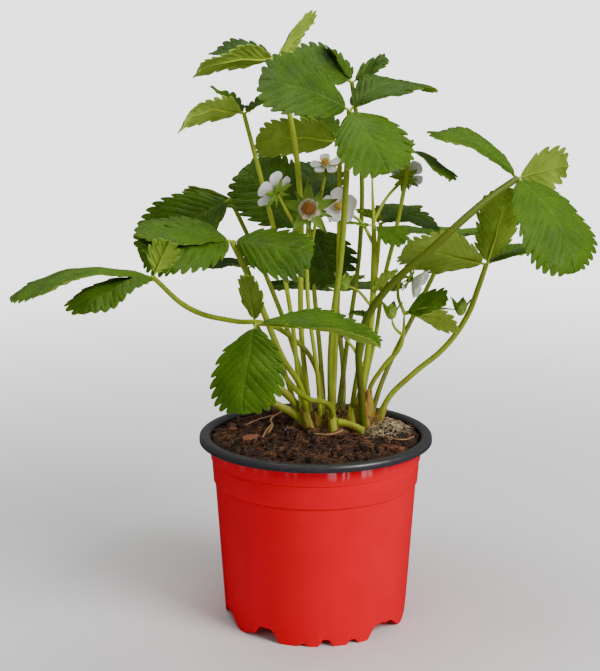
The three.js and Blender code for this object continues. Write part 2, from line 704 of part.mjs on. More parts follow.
const sockets = joined(stems);
place('crown', crownSolid().subtract(sockets), CROWN_BROWN, 0.8);
const plug = lump(PLUG, 0, 1).subtract(crownLobes(CLEARANCE)).subtract(sockets);
place('root_plug', plug, PLUG_STRAW, 0.95);
CHIPS.forEach((chip, index) => place(`bark_chip_${index + 1}`, chipSolid(chip, 0), BARK_BROWN, 0.9));

const holes = joined([
  crownLobes(CLEARANCE),
  ...STUBS.map((points) => bar(points, STUB_RADIUS + CLEARANCE, 3)),
  ...ROOTS.map((points) => root(points, CLEARANCE)),
  ...CHIPS.map((chip) => chipSolid(chip, CLEARANCE)),
  lump(PLUG, CLEARANCE, 1),
  sockets,
]);
place('soil', soilSolid().subtract(holes), SOIL_BROWN, 0.95);
place('pot', potSolid(), POT_RED, 0.35);

export default pottedPlant;
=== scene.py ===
# A strawberry plant in a red nursery pot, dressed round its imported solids.
# The pieces are drawn in millimetres, at their places in the frame, and turned to metres at the end.
# They follow one another as the plant was potted: pot, soil, crown, leaves, sprays and blooms.

import math
import random

import bmesh
import bpy
from mathutils import Matrix, Vector, noise


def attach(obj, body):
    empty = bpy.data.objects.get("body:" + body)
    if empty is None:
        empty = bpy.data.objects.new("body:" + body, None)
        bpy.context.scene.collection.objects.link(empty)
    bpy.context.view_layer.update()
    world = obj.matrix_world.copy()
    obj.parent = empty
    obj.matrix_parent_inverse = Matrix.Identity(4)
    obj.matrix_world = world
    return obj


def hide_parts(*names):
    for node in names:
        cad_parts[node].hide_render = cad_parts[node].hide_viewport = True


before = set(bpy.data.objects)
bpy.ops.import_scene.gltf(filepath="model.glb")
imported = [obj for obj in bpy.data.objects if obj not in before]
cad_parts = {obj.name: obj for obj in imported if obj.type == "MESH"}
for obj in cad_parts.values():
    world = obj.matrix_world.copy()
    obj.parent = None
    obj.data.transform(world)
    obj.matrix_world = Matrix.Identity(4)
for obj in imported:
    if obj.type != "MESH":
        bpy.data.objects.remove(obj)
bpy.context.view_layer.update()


# Pot
# A nursery pot, vacuum formed from a two-colour sheet of polypropylene, red outside and black
# inside, with a turned-out charcoal rim, two bands, a raised floor and notches between its feet.
MILLIMETRE = 0.001
POT_HEIGHT = 106
RIM_RADIUS = 65
RIM_WIDTH = 6
RIM_DROP = 4
RIM_ROUNDING = 2
POT_WALL = 1.2
FOOT_RADIUS = 51.3
WALL_TAPER = 0.064
UPPER_BAND = 92.5
LOWER_BAND = 79.5
UPPER_BAND_STEP = 0.5
LOWER_BAND_STEP = 0.9
GROOVE_HEIGHT = 0.8
GROOVE_DEPTH = 0.35
COLLAR_SWELL = 0.5
FOOT_BAND = 1
RIM_MARGIN = 0.2
FLOOR_MARGIN = 0.3
FLOOR_UNDERSIDE = 8
POT_STEPS = 360
DRAIN_HOLES = 6
DRAIN_RADIUS = 4
DRAIN_RING = 38

# The openings in the pot's lower edge repeat three times round it: each one's angle, its half width
# and the width of its sloping side in degrees, and its height. The last two are shallow lifts beside
# the arches, which round off the feet.
EDGE_REPEAT = 120
OPENINGS_TOP = 9
EDGE_OPENINGS = [
    (-122, 11, 7.5, 7.2),
    (-46, 11, 7.5, 7.2),
    (-83.5, 4.8, 3.2, 3.8),
    (-66.6, 4.2, 2.8, 2.5),
    (-97.5, 3.2, 2.2, 1.4),
    (-39, 16, 14, 6.4),
    (-129, 12, 10, 2.4),
]


def linear(colour):
    """The linear colour, with alpha, of an sRGB hex value."""
    parts = [(colour >> shift & 255) / 255 for shift in (16, 8, 0)]
    return [part / 12.92 if part <= 0.04045 else ((part + 0.055) / 1.055) ** 2.4 for part in parts] + [1]


def new_material(name):
    """An empty material and its node tree."""
    material = bpy.data.materials.new(name)
    material.use_nodes = True
    material.node_tree.nodes.clear()
    return material, material.node_tree


def add(tree, kind, inputs, **settings):
    """Adds a node with its settings. An input is a number, a colour, a socket, or a node to take from."""
    made = tree.nodes.new("ShaderNode" + kind)
    for name, value in settings.items():
        setattr(made, name, value)
    for name, value in inputs.items():
        if isinstance(value, bpy.types.Node):
            value = value.outputs[0]
        if isinstance(value, bpy.types.NodeSocket):
            tree.links.new(value, made.inputs[name])
        else:
            made.inputs[name].default_value = value
    return made


def make_object(drawing, name, materials, sharp=180):
    """An object in metres from a mesh drawn in millimetres, smooth up to an angle in degrees."""
    bmesh.ops.scale(drawing, vec=[MILLIMETRE] * 3, verts=drawing.verts)
    mesh = bpy.data.meshes.new(name)
    drawing.to_mesh(mesh)
    drawing.free()
    mesh.shade_smooth()
    if sharp < 180:
        mesh.set_sharp_from_angle(angle=math.radians(sharp))
    for material in materials:
        mesh.materials.append(material)
    made = bpy.data.objects.new(name, mesh)
    bpy.context.collection.objects.link(made)
    return made


def stand_for(piece, slot, *nodes):
    """The piece rides with the plant and stands for the solids. Its slot is not used."""
    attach(piece, "root")
    if nodes:
        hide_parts(*nodes)


def wall_radius(height):
    """The pot's outer radius at a height below its bands."""
    return FOOT_RADIUS + WALL_TAPER * height


def edge_height(angle):
    """How high the pot's lower edge is cut at an angle in degrees."""
    height = 0
    for middle, half, slope, top in EDGE_OPENINGS:
        away = abs((angle - middle + EDGE_REPEAT / 2) % EDGE_REPEAT - EDGE_REPEAT / 2)
        share = min(max((half - away) / slope, 0), 1)
        height = max(height, top * share * share * (3 - 2 * share))
    return height


rim_inner = RIM_RADIUS - RIM_WIDTH
lower_band = wall_radius(LOWER_BAND) + LOWER_BAND_STEP
upper_band = wall_radius(UPPER_BAND) + LOWER_BAND_STEP
under_rim = POT_HEIGHT - POT_WALL
floor_top = FLOOR_UNDERSIDE + POT_WALL

# Each point of the section has its radius, its height and the rounding of its corner
pot_section = [
    (0, FLOOR_UNDERSIDE, 0),
    (wall_radius(FLOOR_UNDERSIDE) - POT_WALL, FLOOR_UNDERSIDE, 0.4),
    (FOOT_RADIUS - POT_WALL, 0, 0.3),
    (FOOT_RADIUS, 0, 0.5),
    (wall_radius(OPENINGS_TOP), OPENINGS_TOP, 0),
    (wall_radius(LOWER_BAND), LOWER_BAND - GROOVE_HEIGHT, 0.2),
    (wall_radius(LOWER_BAND) - GROOVE_DEPTH, LOWER_BAND, 0),
    (lower_band, LOWER_BAND + LOWER_BAND_STEP / 3, 0.12),
    (upper_band, UPPER_BAND - GROOVE_HEIGHT, 0.2),
    (upper_band - GROOVE_DEPTH, UPPER_BAND, 0),
    (upper_band + UPPER_BAND_STEP, UPPER_BAND + UPPER_BAND_STEP / 3, 0.12),
    (upper_band + UPPER_BAND_STEP + COLLAR_SWELL, (UPPER_BAND + under_rim) / 2, 0),
    (rim_inner + POT_WALL, under_rim, 0.8),
    (RIM_RADIUS - POT_WALL, under_rim, 0.5),
    (RIM_RADIUS - POT_WALL, POT_HEIGHT - RIM_DROP, 0.3),
    (RIM_RADIUS, POT_HEIGHT - RIM_DROP, 0.3),
    (RIM_RADIUS, POT_HEIGHT, RIM_ROUNDING),
    (rim_inner, POT_HEIGHT, RIM_ROUNDING),
    (upper_band - POT_WALL, UPPER_BAND, 0.3),
    (wall_radius(LOWER_BAND) - POT_WALL, LOWER_BAND, 0.3),
    (wall_radius(floor_top) - POT_WALL, floor_top, 1),
    (0, floor_top, 0),
]
pot = bmesh.new()
section_points = [pot.verts.new((radius, 0, height)) for radius, height, rounding in pot_section]
for first, second in zip(section_points, section_points[1:]):
    pot.edges.new((first, second))
for corner, (radius, height, rounding) in zip(section_points, pot_section):
    if rounding:
        bmesh.ops.bevel(
            pot, geom=[corner], offset=rounding, segments=4, profile=0.5, affect="VERTICES", material=-1
        )
bmesh.ops.spin(
    pot, geom=pot.verts[:] + pot.edges[:], cent=(0, 0, 0), axis=(0, 0, 1), angle=math.tau,
    steps=POT_STEPS, use_merge=True,
)
bmesh.ops.remove_doubles(pot, verts=pot.verts, dist=0.001)
bmesh.ops.recalc_face_normals(pot, faces=pot.faces)
for point in pot.verts:
    if point.co.z < FOOT_BAND and point.co.xy.length > FOOT_RADIUS - 2 * POT_WALL:
        point.co.z += edge_height(math.degrees(math.atan2(point.co.y, point.co.x)))
pot.normal_update()

# The outside keeps the first of the pot's materials, the red one
BLACK_FACE = 1
RIM_FACE = 2
for face in pot.faces:
    middle = face.calc_center_median()
    if middle.z > POT_HEIGHT - RIM_DROP - RIM_MARGIN and middle.xy.length > rim_inner - RIM_MARGIN:
        face.material_index = RIM_FACE
    elif middle.z > FLOOR_UNDERSIDE + FLOOR_MARGIN and face.normal.xy.dot(middle.xy) <= 0:
        face.material_index = BLACK_FACE

# Red polypropylene sheet, drawn over a mould: satin and even, with long shallow waves that bend
# what it mirrors, and a painted highlight on the collar: paler upright streaks, most of them round one spot.
# Where the collar's painted highlight is strongest, and how far it reaches
HIGHLIGHT_AT = (0.019, -0.056, 0.101)
HIGHLIGHT_REACH = 0.02
red_sheet, tree = new_material("red_formed_polypropylene")
place = add(tree, "TexCoord", {}).outputs["Object"]
waves = add(tree, "TexNoise", {"Vector": place, "Scale": 1 / 0.022, "Detail": 1})
upright = add(tree, "Mapping", {"Vector": place, "Scale": (260, 260, 18)})
streaks = add(tree, "TexNoise", {"Vector": upright, "Scale": 1, "Detail": 2})
level = add(tree, "SeparateXYZ", {"Vector": place}).outputs["Z"]
collar = add(tree, "MapRange", {"Value": level, "From Min": 0.095, "From Max": 0.1})
from_highlight = add(tree, "VectorMath", {0: place, 1: HIGHLIGHT_AT}, operation="DISTANCE").outputs["Value"]
highlight_falloff = add(
    tree, "MapRange",
    {"Value": from_highlight, "From Min": 0.4 * HIGHLIGHT_REACH, "From Max": HIGHLIGHT_REACH,
     "To Min": 0.7, "To Max": 0.1},
)
# Painted highlight: pale pink upright streaks on the collar, strongest at that spot and fading away from it
painted_highlight = add(tree, "MapRange", {"Value": streaks, "From Min": 0.5, "From Max": 0.6})
painted_highlight = add(tree, "Math", {0: painted_highlight, 1: collar}, operation="MULTIPLY")
painted_highlight = add(tree, "Math", {0: painted_highlight, 1: highlight_falloff}, operation="MULTIPLY")
paint = add(tree, "MixRGB", {"Fac": waves, "Color1": linear(0xE4001E), "Color2": linear(0xF20024)})
paint = add(tree, "MixRGB", {"Fac": painted_highlight, "Color1": paint, "Color2": linear(0xF8A0AC)})
bump = add(tree, "Bump", {"Height": waves, "Strength": 0.06, "Distance": 0.0008})
shader = add(
    tree, "BsdfPrincipled",
    {"Base Color": paint, "Roughness": 0.3, "Normal": bump, "IOR": 1.49, "Specular IOR Level": 0.08,
     "Specular Tint": linear(0xFF5060)},
)
add(tree, "OutputMaterial", {"Surface": shader})


def mottled_finish(name, patch, grain, colours, surface, spread=None, relief=None):
    """A material whose two colours change in patches of a size in metres, with a relief if it has one."""
    material, tree = new_material(name)
    place = add(tree, "TexCoord", {}).outputs["Object"]
    mottle = add(tree, "TexNoise", {"Vector": place, "Scale": 1 / patch, **grain})
    share = mottle
    if spread:
        share = add(tree, "MapRange", {"Value": mottle, "From Min": spread[0], "From Max": spread[1]})
    dark, light = (linear(colour) for colour in colours)
    paint = add(tree, "MixRGB", {"Fac": share, "Color1": dark, "Color2": light})
    if relief:
        strength, depth = relief
        bump = add(tree, "Bump", {"Height": mottle, "Strength": strength, "Distance": depth})
        surface = {**surface, "Normal": bump}
    shader = add(tree, "BsdfPrincipled", {"Base Color": paint, **surface})
    add(tree, "OutputMaterial", {"Surface": shader})
    return material


# The sheet's black inner face: satin polypropylene, dusty with soil
black_sheet = mottled_finish(
    "black_formed_polypropylene", patch=0.006, grain={"Detail": 6, "Roughness": 0.7},
    colours=(0x0C0C0E, 0x241A12), surface={"Roughness": 0.45, "IOR": 1.49}, spread=(0.45, 0.7),
)

# The rim, where the black face turns outwards: charcoal, satin, with a slightly rubbed grain
charcoal_rim, tree = new_material("charcoal_turned_rim")
place = add(tree, "TexCoord", {}).outputs["Object"]
rub = add(tree, "TexNoise", {"Vector": place, "Scale": 1 / 0.004, "Detail": 5, "Roughness": 0.65})
paint = add(tree, "MixRGB", {"Fac": rub, "Color1": linear(0x1C1B1F), "Color2": linear(0x3D3A42)})
dull = add(
    tree, "MapRange",
    {"Value": rub, "From Min": 0.3, "From Max": 0.7, "To Min": 0.28, "To Max": 0.42},
)
bump = add(tree, "Bump", {"Height": rub, "Strength": 0.25, "Distance": 0.0002})
shader = add(
    tree, "BsdfPrincipled",
    {"Base Color": paint, "Roughness": dull, "Normal": bump, "IOR": 1.49, "Specular IOR Level": 0.9},
)
add(tree, "OutputMaterial", {"Surface": shader})

pot_piece = make_object(pot, "nursery_pot", [red_sheet, black_sheet, charcoal_rim], sharp=35)
drills = bmesh.new()
for hole in range(DRAIN_HOLES):
    turn = Matrix.Rotation(math.tau * hole / DRAIN_HOLES, 4, "Z")
    bmesh.ops.create_cone(
        drills, cap_ends=True, segments=32, radius1=DRAIN_RADIUS, radius2=DRAIN_RADIUS,
        depth=4 * POT_WALL, matrix=turn @ Matrix.Translation((DRAIN_RING, 0, FLOOR_UNDERSIDE)),
    )
drill_piece = make_object(drills, "drills", [red_sheet])
drilling = pot_piece.modifiers.new("drain_holes", "BOOLEAN")
drilling.object = drill_piece
drilling.solver = "EXACT"
drilled = bpy.data.meshes.new_from_object(pot_piece.evaluated_get(bpy.context.evaluated_depsgraph_get()))
pot_piece.modifiers.clear()
pot_piece.data = drilled
bpy.data.objects.remove(drill_piece)
stand_for(pot_piece, "pot_red", "pot")


# Soil
# Dark peat and composted bark, filled loose to just under the rim and heaped round the crown. Its
# top is a lumpy skin with crumbs, chips, hair roots and pale grit lying on it.
CLEARANCE = 0.3
SOIL_EDGE = 101.5
SOIL_MOUND = 7
SOIL_CELLS = 150
CLOD_SIZE = 6.5
CLOD_HEIGHT = 3.2
CRUMB_SIZE = 2.2
CRUMB_HEIGHT = 0.9
CRUMBS = 2600
HAIR_ROOTS = 2000
GRIT = 150
BARK_BITS = 190
LUMP_BEND = 0.6
STRAND_TURN = 0.9
SMALLEST_CRUMB = 0.4
CRUMB_RANGE = 1.9
soil_radius = rim_inner - POT_WALL - CLEARANCE
soil_draw = random.Random(11)

# Blender's noise vectors start from the clock unless they get a seed, and every run is to be the same
noise.seed_set(11)


def soil_height(x, y):
    """The height of the soil's surface, higher round the crown, with its clods and crumbs."""
    reach = min(math.hypot(x, y) / RIM_RADIUS, 1)
    mound = SOIL_MOUND * (1 - reach * reach)
    lumps = 0.8 * math.sin(x / 5.1 + 1) * math.cos(y / 4.7) + 0.6 * math.sin((x + 2 * y) / 9)
    clods = CLOD_HEIGHT * (abs(noise.noise(Vector((x, y, 0)) / CLOD_SIZE)) - 0.25)
    crumbs = CRUMB_HEIGHT * (abs(noise.noise(Vector((x, y, 40)) / CRUMB_SIZE)) - 0.25)
    return SOIL_EDGE + mound + lumps + 2 * clods + 2 * crumbs


def soil_spot(draw, edge):
    """A random place on the soil's surface, within a distance of the pot's axis."""
    angle = draw.uniform(0, math.tau)
    reach = edge * math.sqrt(draw.random())
    x, y = reach * math.cos(angle), reach * math.sin(angle)
    return Vector((x, y, soil_height(x, y)))


def add_lump(drawing, pattern, place, size, draw):
    """Copies a small pattern to its place, bent a little, so that no two lumps are alike."""
    shift = Vector((draw.uniform(0, 99), draw.uniform(0, 99), draw.uniform(0, 99)))
    points = []
    for corner in pattern.verts:
        spot = place @ corner.co
        points.append(drawing.verts.new(spot + LUMP_BEND * size * noise.noise_vector(spot / size + shift)))
    for face in pattern.faces:
        drawing.faces.new([points[corner.index] for corner in face.verts])
    return points


def add_stems(drawing, stems, steps, roundness):
    """Adds round stems, each with its points and the radius at each, to a mesh."""
    curve = bpy.data.curves.new("stems", "CURVE")
    curve.dimensions = "3D"
    curve.bevel_depth = 1
    curve.bevel_resolution = roundness
    curve.resolution_u = steps
    curve.use_fill_caps = True
    for points, radii in stems:
        spline = curve.splines.new("BEZIER")
        spline.bezier_points.add(len(points) - 1)
        for knot, spot, radius in zip(spline.bezier_points, points, radii):
            knot.co = spot
            knot.radius = radius
            knot.handle_left_type = "AUTO"
            knot.handle_right_type = "AUTO"
    holder = bpy.data.objects.new("stems", curve)
    bpy.context.collection.objects.link(holder)
    mesh = bpy.data.meshes.new_from_object(holder.evaluated_get(bpy.context.evaluated_depsgraph_get()))
    count = len(drawing.verts)
    faces = len(drawing.faces)
    drawing.from_mesh(mesh)
    bpy.data.objects.remove(holder)
    bpy.data.curves.remove(curve)
    bpy.data.meshes.remove(mesh)
    drawing.verts.ensure_lookup_table()
    drawing.faces.ensure_lookup_table()
    new_faces = drawing.faces[faces:]
    bmesh.ops.remove_doubles(drawing, verts=drawing.verts[count:], dist=0.0005)
    return [face for face in new_faces if face.is_valid]


def add_strands(drawing, draw, count, spots, length, radius, lift):
    """Adds thin curled strands that lie on what is below them, from random spots."""
    strands = []
    for strand in range(count):
        spot = spots(draw)
        heading = draw.uniform(0, math.tau)
        size = draw.uniform(*length)
        points = [spot + Vector((0, 0, draw.uniform(*lift)))]
        for step in range(3):
            heading += draw.uniform(-STRAND_TURN, STRAND_TURN)
            along = Vector((math.cos(heading), math.sin(heading), 0)) * size / 3
            spot = points[-1] + along
            rise = draw.uniform(*lift)
            points.append(Vector((spot.x, spot.y, max(spots(None, spot), spot.z - size / 5) + rise)))
        thick = draw.uniform(*radius)
        strands.append((points, [0.6 * thick, thick, thick, 0.4 * thick]))
    add_stems(drawing, strands, 3, 0)


def on_soil(draw, spot=None):
    """A random spot on the soil, or the soil's height under a spot."""
    if spot is None:
        return soil_spot(draw, soil_radius - 4)
    return soil_height(spot.x, spot.y)


soil = bmesh.new()
bmesh.ops.create_grid(soil, x_segments=SOIL_CELLS, y_segments=SOIL_CELLS, size=soil_radius + 1)
outside = [point for point in soil.verts if point.co.xy.length > soil_radius + 0.8]
bmesh.ops.delete(soil, geom=outside, context="VERTS")
for point in soil.verts:
    if point.co.xy.length > soil_radius:
        point.co.xy = point.co.xy.normalized() * soil_radius
    point.co.z = soil_height(point.co.x, point.co.y)
soil_levels = [
    (UPPER_BAND, upper_band - POT_WALL - CLEARANCE),
    (LOWER_BAND, wall_radius(LOWER_BAND) - POT_WALL - CLEARANCE),
    (floor_top + CLEARANCE, wall_radius(floor_top) - POT_WALL - CLEARANCE),
]
edge = [link for link in soil.edges if link.is_boundary]
for level, radius in soil_levels:
    made = bmesh.ops.extrude_edge_only(soil, edges=edge)["geom"]
    for point in made:
        if isinstance(point, bmesh.types.BMVert):
            point.co.xy = point.co.xy.normalized() * radius
            point.co.z = level
    edge = [link for link in made if isinstance(link, bmesh.types.BMEdge) and link.is_boundary]
bmesh.ops.contextual_create(soil, geom=edge)
bmesh.ops.recalc_face_normals(soil, faces=soil.faces)

# Moist peat: near black where it is wet, brown where it is dry, in grains of about a millimetre
damp_peat, tree = new_material("damp_peat_and_bark_soil")
place = add(tree, "TexCoord", {}).outputs["Object"]
patches = add(tree, "TexNoise", {"Vector": place, "Scale": 1 / 0.009, "Detail": 6, "Roughness": 0.75})
grains = add(tree, "TexVoronoi", {"Vector": place, "Scale": 1 / 0.0011})
dry = add(tree, "MapRange", {"Value": patches, "From Min": 0.42, "From Max": 0.68})
paint = add(tree, "MixRGB", {"Fac": dry, "Color1": linear(0x0E0805), "Color2": linear(0x4E2C1C)})
speck = add(tree, "SeparateColor", {"Color": grains.outputs["Color"]})
light = add(tree, "MapRange", {"Value": speck, "From Min": 0.7, "From Max": 1, "To Max": 0.45})
paint = add(tree, "MixRGB", {"Fac": light, "Color1": paint, "Color2": linear(0x6E4A30)})
bump = add(tree, "Bump", {"Height": grains, "Strength": 0.8, "Distance": 0.0007})
shader = add(tree, "BsdfPrincipled", {"Base Color": paint, "Roughness": 0.85, "Normal": bump})
add(tree, "OutputMaterial", {"Surface": shader})
soil_piece = make_object(soil, "soil_heap", [damp_peat])
stand_for(soil_piece, "soil_brown", "soil")

# Crumbs of the same soil, each a little lighter or darker than the next
ball = bmesh.new()
bmesh.ops.create_icosphere(ball, subdivisions=1, radius=1)
block = bmesh.new()
bmesh.ops.create_cube(block, size=1)
crumbs = bmesh.new()
tone = crumbs.verts.layers.float.new("tone")
for crumb in range(CRUMBS):
    spot = soil_spot(soil_draw, soil_radius - 2)
    size = SMALLEST_CRUMB + CRUMB_RANGE * soil_draw.random() ** 4
    turn = Matrix.Rotation(soil_draw.uniform(0, math.tau), 4, soil_draw.choice("XYZ"))
    shape = Matrix.Diagonal((1, soil_draw.uniform(0.6, 1), soil_draw.uniform(0.5, 0.9), 1))
    place = Matrix.Translation(spot) @ turn @ shape @ Matrix.Scale(size, 4)
    lump = add_lump(crumbs, ball, place, size, soil_draw)
    shade = soil_draw.random() ** 1.5
    for point in lump:
        point[tone] = shade

crumb_peat, tree = new_material("dry_peat_crumbs")
place = add(tree, "TexCoord", {}).outputs["Object"]
own = add(tree, "Attribute", {}, attribute_name="tone").outputs["Fac"]
grains = add(tree, "TexNoise", {"Vector": place, "Scale": 1 / 0.0009, "Detail": 4, "Roughness": 0.8})
paint = add(tree, "MixRGB", {"Fac": own, "Color1": linear(0x1C100A), "Color2": linear(0x5C3A26)})
paint = add(tree, "MixRGB", {"Fac": grains, "Color1": paint, "Color2": linear(0x2A1810)})
bump = add(tree, "Bump", {"Height": grains, "Strength": 0.8, "Distance": 0.0005})
shader = add(tree, "BsdfPrincipled", {"Base Color": paint, "Roughness": 0.9, "Normal": bump})
add(tree, "OutputMaterial", {"Surface": shader})
stand_for(make_object(crumbs, "soil_crumbs", [crumb_peat]), "soil_brown")

# Bits of composted bark, thin splinters that lie every way
bits = bmesh.new()
tone = bits.verts.layers.float.new("tone")
for bit in range(BARK_BITS):
    spot = soil_spot(soil_draw, soil_radius - 4) + Vector((0, 0, 0.5))
    turn = Matrix.Rotation(soil_draw.uniform(0, math.tau), 4, "Z")
    tilt = Matrix.Rotation(soil_draw.uniform(-0.6, 0.6), 4, "X")
    long = soil_draw.uniform(1.6, 4.6)
    shape = Matrix.Diagonal((long, long * soil_draw.uniform(0.25, 0.6), soil_draw.uniform(0.4, 0.9), 1))
    splinter = add_lump(bits, block, Matrix.Translation(spot) @ turn @ tilt @ shape, 0.6 * long, soil_draw)
    shade = soil_draw.random()
    for point in splinter:
        point[tone] = shade

split_bark, tree = new_material("composted_bark")
place = add(tree, "TexCoord", {}).outputs["Object"]
own = add(tree, "Attribute", {}, attribute_name="tone").outputs["Fac"]
stretched = add(tree, "Mapping", {"Vector": place, "Scale": (300, 1200, 1200)})
fibre = add(tree, "TexNoise", {"Vector": stretched, "Scale": 1, "Detail": 5, "Roughness": 0.7})
paint = add(tree, "MixRGB", {"Fac": own, "Color1": linear(0x2A160E), "Color2": linear(0x7A4630)})
paint = add(tree, "MixRGB", {"Fac": fibre, "Color1": paint, "Color2": linear(0x3A2014)})
bump = add(tree, "Bump", {"Height": fibre, "Strength": 0.7, "Distance": 0.0006})
shader = add(tree, "BsdfPrincipled", {"Base Color": paint, "Roughness": 0.75, "Normal": bump})
add(tree, "OutputMaterial", {"Surface": shader})
stand_for(make_object(bits, "bark_bits", [split_bark], sharp=30), "soil_brown")

# Hair roots and peat fibres tangled through the top of the soil, dull red brown and paler where dry
hairs = bmesh.new()
add_strands(hairs, soil_draw, HAIR_ROOTS, on_soil, (3, 11), (0.05, 0.15), (0, 1.2))
hair_root = mottled_finish(
    "peat_fibre", patch=0.005, grain={"Detail": 2}, colours=(0x3E1A10, 0xB47C50),
    surface={"Roughness": 0.7}, spread=(0.38, 0.66),
)
stand_for(make_object(hairs, "soil_fibres", [hair_root]), "soil_brown")

# Pale grit, dull grains of stone that lie thickest on the left of the crown
GRIT_PATCH = Vector((-13, -2, 0))
grit = bmesh.new()
for grain in range(GRIT):
    spot = soil_spot(soil_draw, soil_radius - 3)
    if grain % 2:
        spread = Vector((soil_draw.gauss(0, 6), soil_draw.gauss(0, 7), 0))
        spot = GRIT_PATCH + spread
        spot.z = soil_height(spot.x, spot.y)
    spot.z += 0.3
    size = soil_draw.uniform(0.25, 0.6)
    add_lump(grit, ball, Matrix.Translation(spot) @ Matrix.Scale(size, 4), size, soil_draw)
pale_grit = mottled_finish(
    "pale_stone_grit", patch=0.002, grain={"Detail": 2}, colours=(0x6E665C, 0xB8B0A4),
    surface={"Roughness": 0.6},
)
stand_for(make_object(grit, "soil_grit", [pale_grit], sharp=30), "soil_brown")


# Bark chips
# Four larger flakes of pine bark that came with the potting mix. Each is a split plate with a
# crooked outline and a layered, fibrous face, half sunk in the soil.
CHIPS = {
    "bark_chip_1": {"at": (-35, -16, 105.6), "turn": 20, "tilt": 8, "size": (11, 8, 3), "peak": 2.2},
    "bark_chip_2": {"at": (42, -28, 104.2), "turn": -25, "tilt": -6, "size": (14, 6, 2.6), "peak": 0.8},
    "bark_chip_3": {"at": (-46, 10, 104.4), "turn": 70, "tilt": 6, "size": (12, 5, 2.4), "peak": 0.6},
    "bark_chip_4": {"at": (-14, 40, 105.2), "turn": -40, "tilt": -5, "size": (13, 7, 2.8), "peak": 1},
}
CHIP_GRAIN = 1.8
CHIP_ROUGHNESS = 0.35
CHIP_OUTLINE = [(-1, -0.5), (-0.2, -1), (1, -0.7), (0.8, 0.6), (0.1, 1), (-0.9, 0.6)]

flake, tree = new_material("split_pine_bark")
place = add(tree, "TexCoord", {}).outputs["Object"]
layers = add(tree, "Mapping", {"Vector": place, "Rotation": (0, 0, 0.35), "Scale": (160, 900, 1800)})
fibre = add(tree, "TexNoise", {"Vector": layers, "Scale": 1, "Detail": 6, "Roughness": 0.7})
patches = add(tree, "TexNoise", {"Vector": place, "Scale": 1 / 0.004, "Detail": 3})
paint = add(tree, "MixRGB", {"Fac": fibre, "Color1": linear(0x64301E), "Color2": linear(0xBC7454)})
dirt = add(tree, "MapRange", {"Value": patches, "From Min": 0.5, "From Max": 0.66, "To Max": 0.8})
paint = add(tree, "MixRGB", {"Fac": dirt, "Color1": paint, "Color2": linear(0x2A1810)})
bump = add(tree, "Bump", {"Height": fibre, "Strength": 0.8, "Distance": 0.0008})
shader = add(tree, "BsdfPrincipled", {"Base Color": paint, "Roughness": 0.7, "Normal": bump})
add(tree, "OutputMaterial", {"Surface": shader})

for name, shape in CHIPS.items():
    chip = bmesh.new()
    length, width, thickness = (side / 2 for side in shape["size"])

    # Only points above the middle are lifted, and those at the middle are so near 0 that they need a margin
    lift_start = thickness / 6
    corners = [chip.verts.new((x * length, y * width, -thickness)) for x, y in CHIP_OUTLINE]
    base = chip.faces.new(corners)
    top = bmesh.ops.extrude_face_region(chip, geom=[base])["geom"]
    top_points = [point for point in top if isinstance(point, bmesh.types.BMVert)]
    bmesh.ops.translate(chip, vec=(0, 0, 2 * thickness), verts=top_points)
    bmesh.ops.recalc_face_normals(chip, faces=chip.faces)
    bmesh.ops.triangulate(chip, faces=chip.faces)
    bmesh.ops.subdivide_edges(chip, edges=chip.edges, cuts=5, use_grid_fill=True)
    for point in chip.verts:
        spread = max(0, 1 - abs(point.co.x) / length) * max(0, 1 - abs(point.co.y) / width)
        point.co.z += shape["peak"] * spread * (point.co.z > lift_start)
        rough = noise.noise_vector(Vector((point.co.x, point.co.y, 3 * point.co.z)) / CHIP_GRAIN)
        point.co += CHIP_ROUGHNESS * rough
    turn = Matrix.Rotation(math.radians(shape["turn"]), 4, "Z")
    tilt = Matrix.Rotation(math.radians(shape["tilt"]), 4, "X")
    bmesh.ops.transform(chip, matrix=Matrix.Translation(shape["at"]) @ turn @ tilt, verts=chip.verts)
    stand_for(make_object(chip, name + "_flake", [flake], sharp=35), "bark_brown", name)


# Crown
# The plant's short woody stem: three lobes grown together, scarred by old leaves, with papery
# sheaths round the leaf bases, stubs of cut stalks, and roots that run down into the soil.
CROWN_LOBES = [
    ((-1, 1, 107), (12, 12, 9)),
    ((12, 0, 106), (13.4, 16, 9.4)),
    ((26, 0, 108), (9.5, 9.5, 10.5)),
]
STUBS = [
    [(9, -9, 114), (17, -12, 113.5), (26, -16, 110.8)],
    [(-5, -6, 112), (-13, -9, 119), (-26, -13, 127)],
    [(-6, 4, 113), (-13, 0, 124), (-24, -4, 135)],
]
STUB_RADIUS = 2.2
ROOTS = [
    [(2, 0, 102), (-8, -6, 82), (-22, -14, 58)],
    [(8, 4, 100), (4, 14, 78), (-4, 28, 52)],
    [(16, -4, 100), (18, -14, 80), (22, -28, 54)],
    [(24, 2, 102), (32, 8, 80), (36, 20, 56)],
    [(12, 0, 99), (12, 0, 76), (8, -4, 40)],
]
ROOT_RADIUS = 1.4
ROOT_TIP_RADIUS = 0.4
SHEATH_WALL = 0.25
SCAR_HEIGHT = 0.9

# Each sheath wraps the foot of a stem: its foot, its top, its radius at each, and how rusty it is
SHEATHS = [
    ((27, -4, 110), (25.5, -9, 126), 4.2, 2.3, 0.8),
    ((29, -1, 110), (29, -3, 130), 3.9, 2.1, 0.6),
    ((33, 1, 109), (38.5, 1, 120), 3.2, 1.9, 0.6),
    ((20, -5, 109), (20.5, -6, 122), 3, 2.05, 0.25),
    ((-3, -8, 108), (-6.5, -12, 122), 3, 1.95, 0.4),
    ((2, -6, 108), (1, -9, 119), 2.5, 1.4, 0.15),
    ((10, -11, 107), (8.5, -14, 118), 2.7, 1.8, 0.1),
    ((-5, 2, 109), (-7, 2, 120), 2.9, 1.9, 0.6),
    ((6, 7, 109), (3, 12, 119), 2.7, 1.7, 0.4),
    ((13, 9, 109), (15, 16, 118), 2.7, 1.7, 0.4),
    ((9, -3, 109), (8.5, -8, 120), 3, 1.95, 0.25),
]

